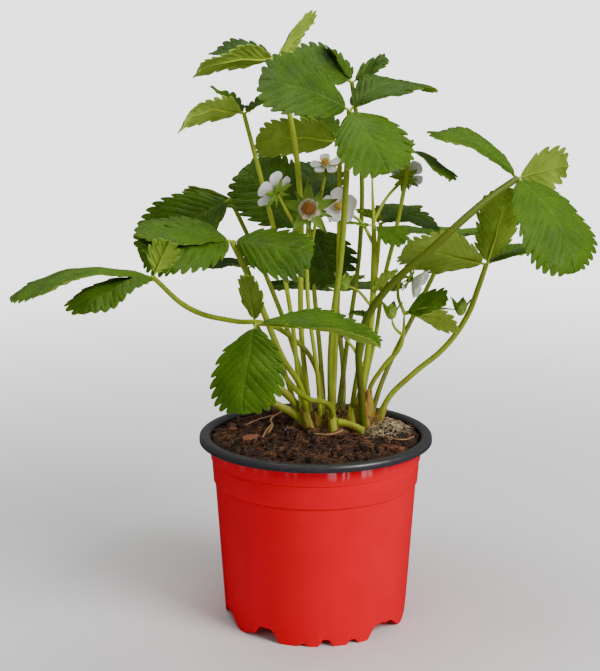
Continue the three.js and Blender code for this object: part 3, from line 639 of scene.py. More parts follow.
rhizome = bmesh.new()
for at, size in CROWN_LOBES:
    stretch = Matrix.Translation(at) @ Matrix.Diagonal((*size, 1))
    lobe = bmesh.ops.create_icosphere(rhizome, subdivisions=5, radius=1, matrix=stretch)["verts"]
    for point in lobe:
        scars = noise.noise(Vector((point.co.x / 5, point.co.y / 5, point.co.z / 1.6)))
        point.co += SCAR_HEIGHT * scars * (point.co - Vector(at)).normalized()
bmesh.ops.recalc_face_normals(rhizome, faces=rhizome.faces)
root_taper = [ROOT_RADIUS, (ROOT_RADIUS + ROOT_TIP_RADIUS) / 2, ROOT_TIP_RADIUS]
add_stems(rhizome, [(points, root_taper) for points in ROOTS], 6, 2)

# Woody crown tissue: dull and brown, corky and scaly in level rings
corky_crown, tree = new_material("corky_crown")
place = add(tree, "TexCoord", {}).outputs["Object"]
rings = add(tree, "Mapping", {"Vector": place, "Scale": (280, 280, 900)})
scales = add(tree, "TexNoise", {"Vector": rings, "Scale": 1, "Detail": 6, "Roughness": 0.7})
paint = add(tree, "MixRGB", {"Fac": scales, "Color1": linear(0x2A180C), "Color2": linear(0xA07440)})
bump = add(tree, "Bump", {"Height": scales, "Strength": 0.9, "Distance": 0.001})
shader = add(tree, "BsdfPrincipled", {"Base Color": paint, "Roughness": 0.85, "Normal": bump})
add(tree, "OutputMaterial", {"Surface": shader})
stand_for(make_object(rhizome, "crown_rhizome", [corky_crown]), "crown_brown", "crown")

sheaths = bmesh.new()
tone = sheaths.verts.layers.float.new("tone")
sheath_draw = random.Random(23)
for foot, tip, foot_radius, tip_radius, rust in SHEATHS:
    foot, tip = Vector(foot), Vector(tip)
    reach = tip - foot
    turn = reach.to_track_quat("Z", "Y").to_matrix().to_4x4()
    skin = bmesh.ops.create_grid(sheaths, x_segments=28, y_segments=10, size=1)["verts"]
    shift = sheath_draw.uniform(0, 50)
    for point in skin:
        share = (point.co.y + 1) / 2
        angle = math.pi * point.co.x
        ragged = noise.noise(Vector((2.4 * math.cos(angle), 2.4 * math.sin(angle), shift)))
        fine = noise.noise(Vector((7 * math.cos(angle), 7 * math.sin(angle), shift)))
        rise = reach.length * (share + 0.3 * max(share - 0.35, 0) * (ragged + 0.4 * fine))
        swell = 1 + 0.1 * math.sin(math.pi * share) + 0.15 * share * ragged + 0.04 * fine
        radius = swell * (foot_radius + (tip_radius - foot_radius) * share)
        point.co = (radius * math.cos(angle), radius * math.sin(angle), rise)
        point[tone] = 0.8 * rust + 0.2 * share
    bmesh.ops.transform(sheaths, matrix=Matrix.Translation(foot) @ turn, verts=skin)
bmesh.ops.remove_doubles(sheaths, verts=sheaths.verts, dist=0.001)
bmesh.ops.recalc_face_normals(sheaths, faces=sheaths.faces)
bmesh.ops.solidify(sheaths, geom=sheaths.faces[:], thickness=SHEATH_WALL)

# Dry stipules: papery, yellow green where they are fresh and orange brown where they have dried
dry_stipule, tree = new_material("dry_papery_sheath")
place = add(tree, "TexCoord", {}).outputs["Object"]
own = add(tree, "Attribute", {}, attribute_name="tone").outputs["Fac"]
lengthwise = add(tree, "Mapping", {"Vector": place, "Scale": (1100, 1100, 110)})
streaks = add(tree, "TexNoise", {"Vector": lengthwise, "Scale": 1, "Detail": 4, "Roughness": 0.6})
patches = add(tree, "TexNoise", {"Vector": place, "Scale": 1 / 0.006, "Detail": 3})
spread = add(
    tree, "MapRange",
    {"Value": patches, "From Min": 0.35, "From Max": 0.65, "To Min": -0.3, "To Max": 0.3},
)
age = add(tree, "Math", {0: own, 1: spread}, operation="ADD", use_clamp=True)
paint = add(tree, "MixRGB", {"Fac": age, "Color1": linear(0xBCC640), "Color2": linear(0xAC6A30)})
dark = add(
    tree, "MapRange",
    {"Value": streaks, "From Min": 0.35, "From Max": 0.6, "To Min": 0.35, "To Max": 0},
)
paint = add(tree, "MixRGB", {"Fac": dark, "Color1": paint, "Color2": linear(0x5A3A1C)})
bump = add(tree, "Bump", {"Height": streaks, "Strength": 0.6, "Distance": 0.0004})
shader = add(tree, "BsdfPrincipled", {"Base Color": paint, "Roughness": 0.6, "Normal": bump})
add(tree, "OutputMaterial", {"Surface": shader})
stand_for(make_object(sheaths, "crown_sheaths", [dry_stipule], sharp=50), "crown_brown")

# Dry shreds of older sheaths that stand up round the stems, dull brown to straw coloured
SHREDS = 130
SHRED_SPOTS = [(26, -2), (28, 2), (20, -4), (9, -6), (2, -6), (-4, -6), (-3, 4), (6, 7), (14, 8), (33, 2)]
shreds = bmesh.new()
shred_stems = []
for shred in range(SHREDS):
    x, y = sheath_draw.choice(SHRED_SPOTS)
    foot = Vector((x + sheath_draw.gauss(0, 3), y + sheath_draw.gauss(0, 3), 109))
    lean = Vector((sheath_draw.uniform(-0.5, 0.5), sheath_draw.uniform(-0.7, 0.3), 1))
    lean *= sheath_draw.uniform(5, 15)
    curl = Vector((sheath_draw.uniform(-3, 3), sheath_draw.uniform(-3, 3), 0))
    thick = sheath_draw.uniform(0.12, 0.4)
    shred_stems.append(([foot, foot + lean / 2 + curl, foot + lean], [thick, thick, 0.3 * thick]))
add_stems(shreds, shred_stems, 4, 0)
dry_shred = mottled_finish(
    "dry_brown_shred", patch=0.006, grain={"Detail": 3}, colours=(0x3E2212, 0xB08E54),
    surface={"Roughness": 0.75}, spread=(0.4, 0.62),
)
stand_for(make_object(shreds, "crown_shreds", [dry_shred]), "crown_brown")

# The stubs of stalks that were cut off, still green
stubs = bmesh.new()
tone = stubs.verts.layers.float.new("tone")
stub_stems = [(points, [1.15 * STUB_RADIUS, STUB_RADIUS, STUB_RADIUS]) for points in STUBS]
add_stems(stubs, stub_stems, 8, 3)
for point in stubs.verts:
    point[tone] = 0.9

# A living stalk: lime green skin, finely streaked along it, with reddish brown patches low down
green_stalk, tree = new_material("green_stalk_skin")
place = add(tree, "TexCoord", {}).outputs["Object"]
own = add(tree, "Attribute", {}, attribute_name="tone").outputs["Fac"]
lengthwise = add(tree, "Mapping", {"Vector": place, "Scale": (900, 900, 40)})
streaks = add(tree, "TexNoise", {"Vector": lengthwise, "Scale": 1, "Detail": 3})
patches = add(tree, "TexNoise", {"Vector": place, "Scale": 1 / 0.011, "Detail": 3})
level = add(tree, "SeparateXYZ", {"Vector": place}).outputs["Z"]
low = add(
    tree, "MapRange",
    {"Value": level, "From Min": 0.112, "From Max": 0.165, "To Min": 0.6, "To Max": 0},
)
rusty = add(tree, "MapRange", {"Value": patches, "From Min": 0.44, "From Max": 0.6})
redden = add(tree, "Math", {0: low, 1: rusty}, operation="MULTIPLY")
# The tone darkens or lightens a whole stalk: partly its age, partly painted shade and light
paint = add(tree, "MixRGB", {"Fac": own, "Color1": linear(0x56660A), "Color2": linear(0xC0D03C)})
lines = add(tree, "MapRange", {"Value": streaks, "From Min": 0.35, "From Max": 0.7, "To Max": 0.3})
paint = add(tree, "MixRGB", {"Fac": lines, "Color1": paint, "Color2": linear(0x5E7410)})
paint = add(tree, "MixRGB", {"Fac": redden, "Color1": paint, "Color2": linear(0x7A4A30)})
bump = add(tree, "Bump", {"Height": streaks, "Strength": 0.25, "Distance": 0.0003})
shader = add(
    tree, "BsdfPrincipled",
    {"Base Color": paint, "Roughness": 0.48, "Normal": bump, "Specular IOR Level": 0.3,
     "Subsurface Weight": 0.15, "Subsurface Radius": (0.0008, 0.0012, 0.0003), "Subsurface Scale": 1},
)
add(tree, "OutputMaterial", {"Surface": shader})
stand_for(make_object(stubs, "crown_stubs", [green_stalk], sharp=50), "crown_brown")

# The larger loose roots and a forked twig that lie on the soil, straw coloured and a little rough.
# Each has its points and its radius.
LOOSE_ROOTS = [
    ([(-1, -17, 109.4), (8, -19, 109.6), (15, -13, 110.4), (20, -4, 111)], 0.55),
    ([(-26, -14, 109), (-24, -4, 110.5), (-25, 4, 112), (-19, 12, 114)], 0.6),
    ([(-24, -2, 111), (-27, -9, 109.4), (-29, -18, 107.4)], 0.45),
    ([(38, -18, 108), (47, -21, 107.4), (54, -14, 107)], 0.4),
    ([(-40, 4, 108), (-32, 14, 109), (-22, 22, 109.6)], 0.45),
    ([(10, 34, 108), (22, 36, 107.6), (34, 30, 107)], 0.5),
]
loose = bmesh.new()
add_stems(loose, [(points, [radius] * len(points)) for points, radius in LOOSE_ROOTS], 6, 1)
loose_root = mottled_finish(
    "straw_coloured_root", patch=0.004, grain={"Detail": 4}, colours=(0x8A4E2A, 0xD0A878),
    surface={"Roughness": 0.65}, relief=(0.5, 0.0003),
)
stand_for(make_object(loose, "loose_roots", [loose_root]), "root_straw")


# Root plug
# The old plug that the plant was raised in, a ball of peat bound by fine pale roots, which was
# set in beside the crown and stands a little out of the soil.
PLUG_AT = Vector((37, 0, 103.5))
PLUG_SIZE = Vector((15, 18, 8.5))
PLUG_FILL = 0.97
PLUG_LUMPS = 1.5
PLUG_ROOTS = 430
plug_draw = random.Random(5)

plug = bmesh.new()
stretch = Matrix.Translation(PLUG_AT) @ Matrix.Diagonal((*PLUG_SIZE, 1))
bmesh.ops.create_icosphere(plug, subdivisions=5, radius=PLUG_FILL, matrix=stretch)
for point in plug.verts:
    lumps = noise.noise(point.co / 4) + 0.6 * noise.noise(point.co / 1.7)
    point.co += PLUG_LUMPS * lumps * (point.co - PLUG_AT).normalized()

# Old peat: dull and near black, with brown crumbs
peat_ball = mottled_finish(
    "peat_plug", patch=0.0035, grain={"Detail": 6, "Roughness": 0.8}, colours=(0x0E0805, 0x3A2A1C),
    surface={"Roughness": 0.9}, spread=(0.4, 0.65), relief=(0.9, 0.0009),
)
stand_for(make_object(plug, "plug_peat", [peat_ball]), "root_straw", "root_plug")


def on_plug(draw, spot=None):
    """A random spot on the plug's upper half, or the plug's height under a spot."""
    if spot is None:
        angle = draw.uniform(0, math.tau)
        reach = math.sqrt(draw.random()) * PLUG_FILL
        aside = reach * math.cos(angle) * PLUG_SIZE.x
        ahead = reach * math.sin(angle) * PLUG_SIZE.y
        spot = PLUG_AT + Vector((aside, ahead, 0))
        return Vector((spot.x, spot.y, on_plug(None, spot)))
    away = spot - PLUG_AT
    inside = 1 - (away.x / PLUG_SIZE.x) ** 2 - (away.y / PLUG_SIZE.y) ** 2
    return PLUG_AT.z + PLUG_SIZE.z * math.sqrt(max(inside, 0))


# Fine roots, straw coloured and a little glossy, matted over the plug
mat = bmesh.new()
add_strands(mat, plug_draw, PLUG_ROOTS, on_plug, (2.5, 7), (0.1, 0.19), (-0.2, 1))
fine_root = mottled_finish(
    "fine_pale_roots", patch=0.004, grain={"Detail": 2}, colours=(0x6A4A2C, 0xE6D0A4),
    surface={"Roughness": 0.6}, spread=(0.35, 0.6),
)
stand_for(make_object(mat, "plug_roots", [fine_root]), "root_straw")


# Leaves
# Each leaf is one grown piece: a green petiole that stands in the crown, and three leaflets
# at its end, toothed round the margin, puffed up between their veins and paler underneath.
BLADE_THICKNESS = 0.5
TOOTH_LENGTH = 4.8
NOTCH_DEPTH = 1.5
TOOTH_SPACING = 5.6
FIRST_TOOTH = 0.13
TEETH_END = 0.95
TOOTH_ROWS = 8
TOOTH_PEAK = 5 / TOOTH_ROWS
BASE_ROWS = 5
TIP_ROWS = 4
COLUMNS = 24
PETIOLULE = 2.5
TIP_REACH = 0.3
TIP_WIDTH = 0.12
RIB_RADIUS = 0.75
PUFF = 0.42
MIDRIB_DEPTH = 0.35
VEIN_SPACING = 1.8
BASE_EASE = 4
CRUMPLE = 1.5
CRUMPLE_SIZE = 11
CURL = 0.05
WAVE = 0.022
FOLD_ROUNDING = 1.6
PETIOLE_FOOT = 1.25
PETIOLE_END = 0.9

# The places of a leaf's materials after the first, which is its upper side's
UNDERSIDE = 1
STALK = 2

# Every compound leaf: its petiole from the crown to the hub with its radius and tone, and its
# leaflets, each with its heading and rise in degrees, its length and width, its droop, roll and
# fold, and its tone. A tone runs from 0, dark, to 1, bright: partly the leaf's age, old and dark or
# young and bright, and partly painted shade and light, lower where a leaf stands in shade and
# higher where the light falls on it.
LEAVES = {
    "leaf_top_left": (
        [(-2, 4, 107), (-5, 6, 130), (-8, 7, 160), (-9, 6, 240), (-15, 6, 284), (-22, 8, 310)], 1.6, 0.9,
        [(-152, -9, 46, 24, 30, 30, 5, 0.7), (168, 6, 32, 28, 18, -16, 16, 0.1),
         (56, 29, 36, 23, 5, -52, 10, 0.8)],
    ),
    "leaf_top": (
        [(10, -4, 107), (8, -9, 135), (9, -14, 170), (13, -18, 205), (15, -22, 235), (17, -25, 284)],
        1.7, 0.5,
        [(-157, 13, 47, 39, 35, -50, 5, 0.35), (24, 11, 48, 38, 70, 12, 5, 0.3),
         (-64, -41, 44, 36, 40, 15, -5, 0.55)],
    ),
    "leaf_top_back": (
        [(12, 9, 107), (18, 30, 150), (26, 60, 205), (26, 62, 255), (20, 48, 297)], 1.4, 0.4,
        [(130, 45, 24, 18, 10, 25, 20, 0.3), (-12, 32, 21, 17, 10, 32, 10, 0.35),
         (182, 16, 38, 32, 25, -45, 5, 0.3)],
    ),
    "leaf_middle": (
        [(9, 2, 107), (11, 10, 150), (13, 24, 210), (13, 32, 265)], 1.5, 0.8,
        [(-165, 0, 46, 33, 20, 42, 5, 0.6), (-42, -15, 30, 26, 20, 10, 0, 0.5),
         (130, 32, 34, 24, 15, 0, 5, 0.3)],
    ),
    "leaf_high_left": (
        [(-6, -1, 107), (-9, -3, 130), (-13, -7, 170), (-20, -11, 210), (-29, -12, 247), (-38, -12, 282)],
        1.3, 0.85,
        [(-152, -11, 38, 25, 50, 38, 5, 0.8), (132, 29, 22, 18, 0, 15, 15, 0.7),
         (48, 26, 19, 15, -10, -8, 15, 0.6)],
    ),
    "leaf_left_front": (
        [(-4, -8, 107), (-8, -14, 134), (-18, -24, 154), (-28, -34, 182), (-38, -42, 208),
         (-43, -45, 219)], 1.7, 0.5,
        [(-145, -9, 43, 42, 30, -24, 5, 0.45), (180, 7, 46, 38, 20, -11, 5, 0.4),
         (-10, -9, 39, 33, 15, 40, -15, 0.45)],
    ),
    "leaf_far_left": (
        [(4, 1, 107), (3, 4, 128), (-3, 3, 148), (-12, 2, 158), (-24, -4, 167), (-44, -31, 175),
         (-64, -59, 187), (-79, -80, 206)], 1.4, 0.4,
        [(-167, -7, 68, 42, 50, 3, 0, 0.6), (-129, -14, 46, 36, 45, 7, 5, 0.55),
         (-5, 62, 17, 14, 8, -70, 8, 0.4)],
    ),
    "leaf_back_left": (
        [(-2, 10, 107), (-10, 20, 140), (-28, 42, 185), (-50, 57, 230)], 1.4, 0.4,
        [(-176, -36, 62, 46, 20, -50, 5, 0.4), (108, -8, 42, 36, 20, 20, 5, 0.35),
         (20, 12, 18, 16, 30, 20, 5, 0.3)],
    ),
    "leaf_back_middle": (
        [(5, 8, 107), (3, 16, 140), (-1, 32, 180), (-4, 44, 216)], 1.4, 0.5,
        [(172, 37, 48, 42, 10, -60, 5, 0.3), (85, 50, 42, 36, 10, 0, 5, 0.1),
         (-42, -65, 33, 32, 20, 40, 5, 0.1)],
    ),
    "leaf_low_front": (
        [(10, -12, 107), (8, -15, 124), (-4, -28, 132), (-14, -46, 146), (-24, -62, 168),
         (-30, -70, 181)], 1.5, 0.45,
        [(-105, -57, 44, 36, 25, 10, 0, 0.55), (-5, -10, 60, 34, 25, 2, 25, 0.5),
         (150, 78, 22, 22, 10, 60, 5, 0.4)],
    ),
    "leaf_high_right": (
        [(27, -6, 107), (25, -12, 130), (24, -22, 165), (34, -30, 188), (60, -34, 214), (87, -26, 237),
         (105.5, -15, 248.5)], 2, 0.05,
        [(161, 26, 51, 40, 48, -4, 5, 0.5), (30, 4, 28, 23, 20, -72, 5, 0.4),
         (-54, -51, 60, 43, 62, 8, -5, 0.6)],
    ),
    "leaf_right": (
        [(34, -1, 107), (40, 1, 124), (54, 4, 138), (72, 7, 153), (84, 9, 170), (90, 10, 186),
         (94, 10, 199)], 1.6, 0.6,
        [(-173, 10, 46, 38, 15, 40, 5, 0.65), (-48, 72, 42, 34, 0, -4, 5, 0.15),
         (37, 10, 46, 36, 25, -7, 5, 0.3)],
    ),
    "leaf_inner_right": (
        [(19, 8, 107), (24, 12, 140), (32, 18, 180), (36, 22, 220)], 1.3, 0.5,
        [(-3, -8, 33, 26, 75, 16, 5, 0.3), (60, 15, 28, 26, 20, 0, 5, 0.3),
         (-130, 30, 16, 14, 10, 0, 5, 0.4)],
    ),
    "leaf_small_right": (
        [(24, 4, 107), (28, 3, 135), (33, 3, 160), (37, 2, 190), (43, 0, 218), (48, 2, 245),
         (50.5, 4, 262)], 1.2, 0.6,
        [(-34, -31, 27, 20, 35, -8, 5, 0.7), (-157, -3, 18, 15, 10, -20, 5, 0.6),
         (112, 5, 18, 15, 20, -10, 5, 0.5)],
    ),
    "leaf_rear": (
        [(15, 15, 107), (16, 32, 130), (14, 60, 152), (12, 80, 172)], 1.5, 0.4,
        [(195, 5, 38, 32, 25, 0, 5, 0.4), (90, 0, 40, 34, 40, 0, 5, 0.5), (-15, 5, 38, 32, 25, 0, 5, 0.4)],
    ),
    "leaf_rear_left": (
        [(-8, 6, 107), (-16, 18, 130), (-30, 54, 162), (-42, 80, 186)], 1.4, 0.5,
        [(200, 5, 38, 32, 25, 0, 5, 0.3), (110, -5, 40, 34, 40, 0, 5, 0.4), (15, 5, 28, 26, 25, 0, 5, 0.4)],
    ),
    "leaf_rear_right": (
        [(30, 9, 107), (38, 20, 130), (60, 44, 170), (80, 62, 207)], 1.4, 0.4,
        [(-25, 5, 34, 30, 25, 0, 5, 0.5), (70, -5, 42, 34, 40, 0, 5, 0.5), (168, 5, 32, 28, 25, 0, 5, 0.4)],
    ),
}


def blade_axes(heading, rise, droop, roll):
    """The way that a blade grows, its left and its upper side, from its angles in degrees."""
    pitch = math.radians(rise + droop / 2)
    turn = math.radians(heading)
    level = Vector((math.cos(turn), math.sin(turn), 0))
    forward = math.cos(pitch) * level + Vector((0, 0, math.sin(pitch)))
    left = Matrix.Rotation(math.radians(roll), 3, forward) @ Vector((-level.y, level.x, 0))
    return forward, left, forward.cross(left)


def on_blade(base, axes, length, droop, fold, reach, aside, lift):
    """The place of a point that far along a drooping blade, to its left, and above it."""
    forward, left, upward = axes
    bend = math.radians(droop) or 0.001
    lean = math.radians(fold)
    turned = bend * reach / length
    normal = math.cos(turned) * upward + math.sin(turned) * forward
    away = math.hypot(aside, FOLD_ROUNDING) - FOLD_ROUNDING
    spot = base + forward * (PETIOLULE + length * math.sin(turned) / bend)
    spot -= upward * length * (1 - math.cos(turned)) / bend
    return spot + left * aside * math.cos(lean) + normal * (away * math.sin(lean) + lift)


def tooth_height(phase):
    """How far a tooth stands out, as a share of its length, at a share of the way along it."""
    if phase < TOOTH_PEAK:
        return math.sin(math.pi / 2 * phase / TOOTH_PEAK) ** 0.6
    return math.cos(math.pi / 2 * (phase - TOOTH_PEAK) / (1 - TOOTH_PEAK)) ** 0.5


def crumple_height(reach, aside, start):
    """How far a blade's crumpled surface stands up or down at a point."""
    return CRUMPLE * noise.noise(Vector((reach, aside, 9 * start)) / CRUMPLE_SIZE)


def leaflet_rows(length):
    """The rows of a leaflet, each its share of the way to the tip and how many teeth it is along."""
    teeth = max(4, round(length / TOOTH_SPACING))
    pitch = (TEETH_END - FIRST_TOOTH) / teeth
    rows = [(FIRST_TOOTH * (row / BASE_ROWS), 0) for row in range(BASE_ROWS)]
    rows += [(FIRST_TOOTH + pitch * row / TOOTH_ROWS, row / TOOTH_ROWS) for row in range(teeth * TOOTH_ROWS)]
    rows += [(TEETH_END + (1 - TEETH_END) * row / TIP_ROWS, teeth) for row in range(TIP_ROWS + 1)]
    return rows


def add_leaflet(drawing, base, shape, draw, columns=COLUMNS):
    """Adds a leaflet's blade to a leaf, and returns the midrib under it."""
    heading, rise, length, width, droop, roll, fold, shade = shape
    axes = blade_axes(heading, rise, droop, roll)
    rows = leaflet_rows(length)
    tone = drawing.verts.layers.float["tone"]
    chart = drawing.loops.layers.uv["UVMap"]
    wave_start = draw.uniform(0, math.tau)
    shade = min(max(shade + draw.uniform(-0.08, 0.08), 0), 1)
    grid = bmesh.ops.create_grid(drawing, x_segments=columns, y_segments=len(rows) - 1, size=1)["verts"]
    places = {}
    for point in grid:
        side = -point.co.x
        share, teeth_along = rows[round((point.co.y + 1) / 2 * (len(rows) - 1))]
        past_teeth = max(share - TEETH_END, 0) / (1 - TEETH_END)
        toothed = FIRST_TOOTH <= share < TEETH_END
        share = min(share, TEETH_END)
        along = math.sin(math.pi / 2 * share) ** 1.2
        across = math.sin(math.pi * share ** 0.93) ** 0.74
        rib = share ** VEIN_SPACING
        phase = teeth_along % 1 if toothed else 0
        size = TOOTH_LENGTH * (0.65 + 0.35 * math.sin(math.pi * share)) * min(1, length / 40 + 0.25)
        tooth = size * tooth_height(phase) - NOTCH_DEPTH if toothed else 0
        vein = Vector(((along - rib) * length, across * width / 2))
        vein *= 1 + tooth * abs(side) ** 1.5 / max(vein.length, 1)
        reach = rib * length + vein.x * abs(side)
        aside = vein.y * side
        reach += (length + TIP_REACH * size - reach) * past_teeth
        aside *= math.sqrt(1 - past_teeth * past_teeth) + TIP_WIDTH * past_teeth
        between = abs(math.sin(math.pi * (phase - TOOTH_PEAK))) if toothed else 0
        lift = PUFF * between * math.sin(math.pi * min(abs(side), 0.98)) ** 0.7
        lift -= CURL * width * across * side * side
        lift += WAVE * length * side * side * across * math.sin(9 * share + wave_start + 1.3 * side)
        lift -= MIDRIB_DEPTH * max(0, 1 - 10 * abs(side)) * min(1, BASE_EASE * share)
        lift += crumple_height(reach, aside, wave_start) * min(1, BASE_EASE * share) + BLADE_THICKNESS / 2
        places[point] = (side, teeth_along if toothed else 20 + past_teeth)
        point.co = on_blade(base, axes, length, droop, fold, reach, aside, lift)
        point[tone] = shade
    blade = list({face for point in grid for face in point.link_faces})
    for face in blade:
        face.normal_update()
        for loop in face.loops:
            loop[chart].uv = places[loop.vert]
    before = len(drawing.faces)
    bmesh.ops.solidify(drawing, geom=blade, thickness=BLADE_THICKNESS)
    drawing.faces.ensure_lookup_table()
    for face in drawing.faces[before:]:
        face.material_index = UNDERSIDE
    rib_points = []
    rib_radii = []
    thick = RIB_RADIUS * min(1, 0.4 + length / 80)
    for share in (-PETIOLULE / length, 0.04, *(0.1 * step for step in range(1, 9))):
        reach = share * length
        past_base = max(share, 0)
        radius = thick * (1 - past_base)
        lift = crumple_height(reach, 0, wave_start) * min(1, BASE_EASE * past_base ** (1 / VEIN_SPACING))
        lift -= min(14 * past_base, 1) * (MIDRIB_DEPTH + 1.4 * radius)
        rib_points.append(on_blade(base, axes, length, droop, fold, reach, 0, lift))
        rib_radii.append(radius)
    return rib_points, rib_radii


def start_leaf():
    """An empty mesh that can hold a leaf's colours and the run of its veins."""
    drawing = bmesh.new()
    drawing.verts.layers.float.new("tone")
    drawing.loops.layers.uv.new("UVMap")
    return drawing


def grow_stems(drawing, stems, shade):
    """Adds green stems to a leaf or spray, with their tone."""
    tone = drawing.verts.layers.float["tone"]
    for face in add_stems(drawing, stems, 8, 3):
        face.material_index = STALK
        for point in face.verts:
            point[tone] = shade


# The two sides of a leaflet: satin green above, lighter along its sunken veins, with a net of fine
# ones between, and pale and dull below, where the veins stand out, with its greens raised further
# as painted light for the light that shines through the thin blade and up from the table. The map
# runs across the blade from -1 to 1, and along it by one for each tooth.
VEIN_HALF_WIDTH = 0.055
MIDRIB_HALF_WIDTH = 0.03
NET_CELL = 0.0021
BLOTCH = 0.012
FADE = {"To Min": 1, "To Max": 0}
leaf_sides = {}
leaf_finishes = {
    "leaf_upper_side": {
        "dark": 0x24400A, "light": 0x5A8210, "vein": 0x8CA840, "vein share": 0.28, "relief": -1,
        "roughness": 0.46, "specular": 0.17,
    },
    "leaf_underside": {
        # The underside's greens are pale, and paler still as painted light through the blade and from the
        # table
        "dark": 0x526E0A, "light": 0xAAC64C, "vein": 0xB2C65C, "vein share": 0.3, "relief": 1,
        "roughness": 0.65, "specular": 0.08,
    },
}
for name, finish in leaf_finishes.items():
    side_material, tree = new_material(name)
    coordinates = add(tree, "TexCoord", {})
    place = coordinates.outputs["Object"]
    chart = add(tree, "SeparateXYZ", {"Vector": coordinates.outputs["UV"]})
    own = add(tree, "Attribute", {}, attribute_name="tone").outputs["Fac"]
    past_vein = add(tree, "Math", {0: chart.outputs["Y"], 1: TOOTH_PEAK}, operation="SUBTRACT")
    off_vein = add(tree, "Math", {0: past_vein, 1: 0.5}, operation="PINGPONG")
    lateral = add(tree, "MapRange", {"Value": off_vein, "From Max": VEIN_HALF_WIDTH, **FADE})
    off_rib = add(tree, "Math", {0: chart.outputs["X"]}, operation="ABSOLUTE")
    midrib = add(tree, "MapRange", {"Value": off_rib, "From Max": MIDRIB_HALF_WIDTH, **FADE})
    veins = add(tree, "Math", {0: lateral, 1: midrib}, operation="MAXIMUM")
    cells = add(tree, "TexVoronoi", {"Vector": place, "Scale": 1 / NET_CELL}, feature="DISTANCE_TO_EDGE")
    net = add(tree, "MapRange", {"Value": cells, "From Max": 0.1, **FADE})
    blotches = add(tree, "TexNoise", {"Vector": place, "Scale": 1 / BLOTCH, "Detail": 4, "Roughness": 0.6})
    spread = add(
        tree, "MapRange",
        {"Value": blotches, "From Min": 0.3, "From Max": 0.7, "To Min": -0.18, "To Max": 0.18},
    )
    # The tone mixes the dark and light greens: partly the leaflet's age, partly painted shade and light
    mixed = add(tree, "Math", {0: own, 1: spread}, operation="ADD", use_clamp=True)
    dark, light = linear(finish["dark"]), linear(finish["light"])
    paint = add(tree, "MixRGB", {"Fac": mixed, "Color1": dark, "Color2": light})
    pale = add(tree, "Math", {0: veins, 1: finish["vein share"]}, operation="MULTIPLY")
    paint = add(tree, "MixRGB", {"Fac": pale, "Color1": paint, "Color2": linear(finish["vein"])})
    faint = add(tree, "Math", {0: net, 1: 0.16}, operation="MULTIPLY")
    paint = add(tree, "MixRGB", {"Fac": faint, "Color1": paint, "Color2": linear(finish["vein"])})
    fine = add(tree, "Math", {0: net, 1: 0.3}, operation="MULTIPLY")
    height = add(tree, "Math", {0: veins, 1: fine}, operation="ADD")
    relief = add(tree, "Math", {0: height, 1: finish["relief"]}, operation="MULTIPLY")
    bump = add(tree, "Bump", {"Height": relief, "Strength": 0.55, "Distance": 0.0004})
    shader = add(
        tree, "BsdfPrincipled",
        {"Base Color": paint, "Roughness": finish["roughness"], "Normal": bump, "IOR": 1.42,
         "Specular IOR Level": finish["specular"], "Sheen Weight": 0.01, "Subsurface Weight": 0.2,
         "Subsurface Radius": (0.0006, 0.001, 0.0002), "Subsurface Scale": 1},
    )
    add(tree, "OutputMaterial", {"Surface": shader})
    leaf_sides[name] = side_material
leaf_materials = [leaf_sides["leaf_upper_side"], leaf_sides["leaf_underside"], green_stalk]

leaf_draw = random.Random(37)
for name, (petiole, radius, stem_tone, leaflets) in LEAVES.items():
    leaf = start_leaf()
    ribs = [add_leaflet(leaf, Vector(petiole[-1]), shape, leaf_draw) for shape in leaflets]
    swelling = [PETIOLE_FOOT] + [1] * (len(petiole) - 2) + [PETIOLE_END]
    stem = (petiole, [radius * share for share in swelling])
    grow_stems(leaf, [stem], stem_tone)
    grow_stems(leaf, ribs, 0.5 + stem_tone / 2)
    stand_for(make_object(leaf, name + "_grown", leaf_materials, sharp=60), "leaf_green", name)


# Sprays
# The flower stalks, which branch above the leaves' feet: green and round, with small leaves and
# closed buds on them, and at each end a calyx of pointed green sepals with narrow bracts between.
CALYX_RADIUS = 2.4
CALYX_DEPTH = 1.4
SEPALS = 5
SEPAL_ROWS = 8
SEPAL_COLUMNS = 4
SEPAL_FOOT = 0.4
SEPAL_CUP = 0.1
SEPAL_THICKNESS = 0.3
BUD_SIZE = Vector((3, 3, 4.4))
BUD_ROWS = 5
BUD_COLUMNS = 2
BUD_SEPAL_THICKNESS = 0.25
SHEET_ROUNDING = 0.12
STALK_FOOT = 1.15
STALK_NECK = 0.7
STALK_TIP = 0.3

# A spray has one material more than a leaf
SEPAL = 3

# The blooms: the middle of each one's calyx, the way that it faces (heading and rise), the length
# of its sepals, its petals (how many, their length and width, and how far they lift)
BLOOMS = {
    "bloom_left": ((-21, -24, 242), (140, 30), 8, (5, 10, 9, 12)),
    "bloom_spent": ((-4, -22, 233), (-92, 15), 14, (0, 0, 0, 0)),
    "bloom_middle": ((12.5, -9, 233), (-92, 10), 8, (5, 9, 8.4, 25)),
    "bloom_withered": ((5, -7, 254), (-100, 55), 5, (5, 7, 5.5, 10)),
    "bloom_right": ((49, 14, 247), (70, 25), 7, (5, 9, 8.4, 20)),
    "bloom_nodding": ((52, -5, 193), (-15, -25), 7, (5, 9.5, 9, 40)),
    "bloom_low": ((17, -8, 165), (-90, 50), 3, (4, 6, 5, 20)),
}

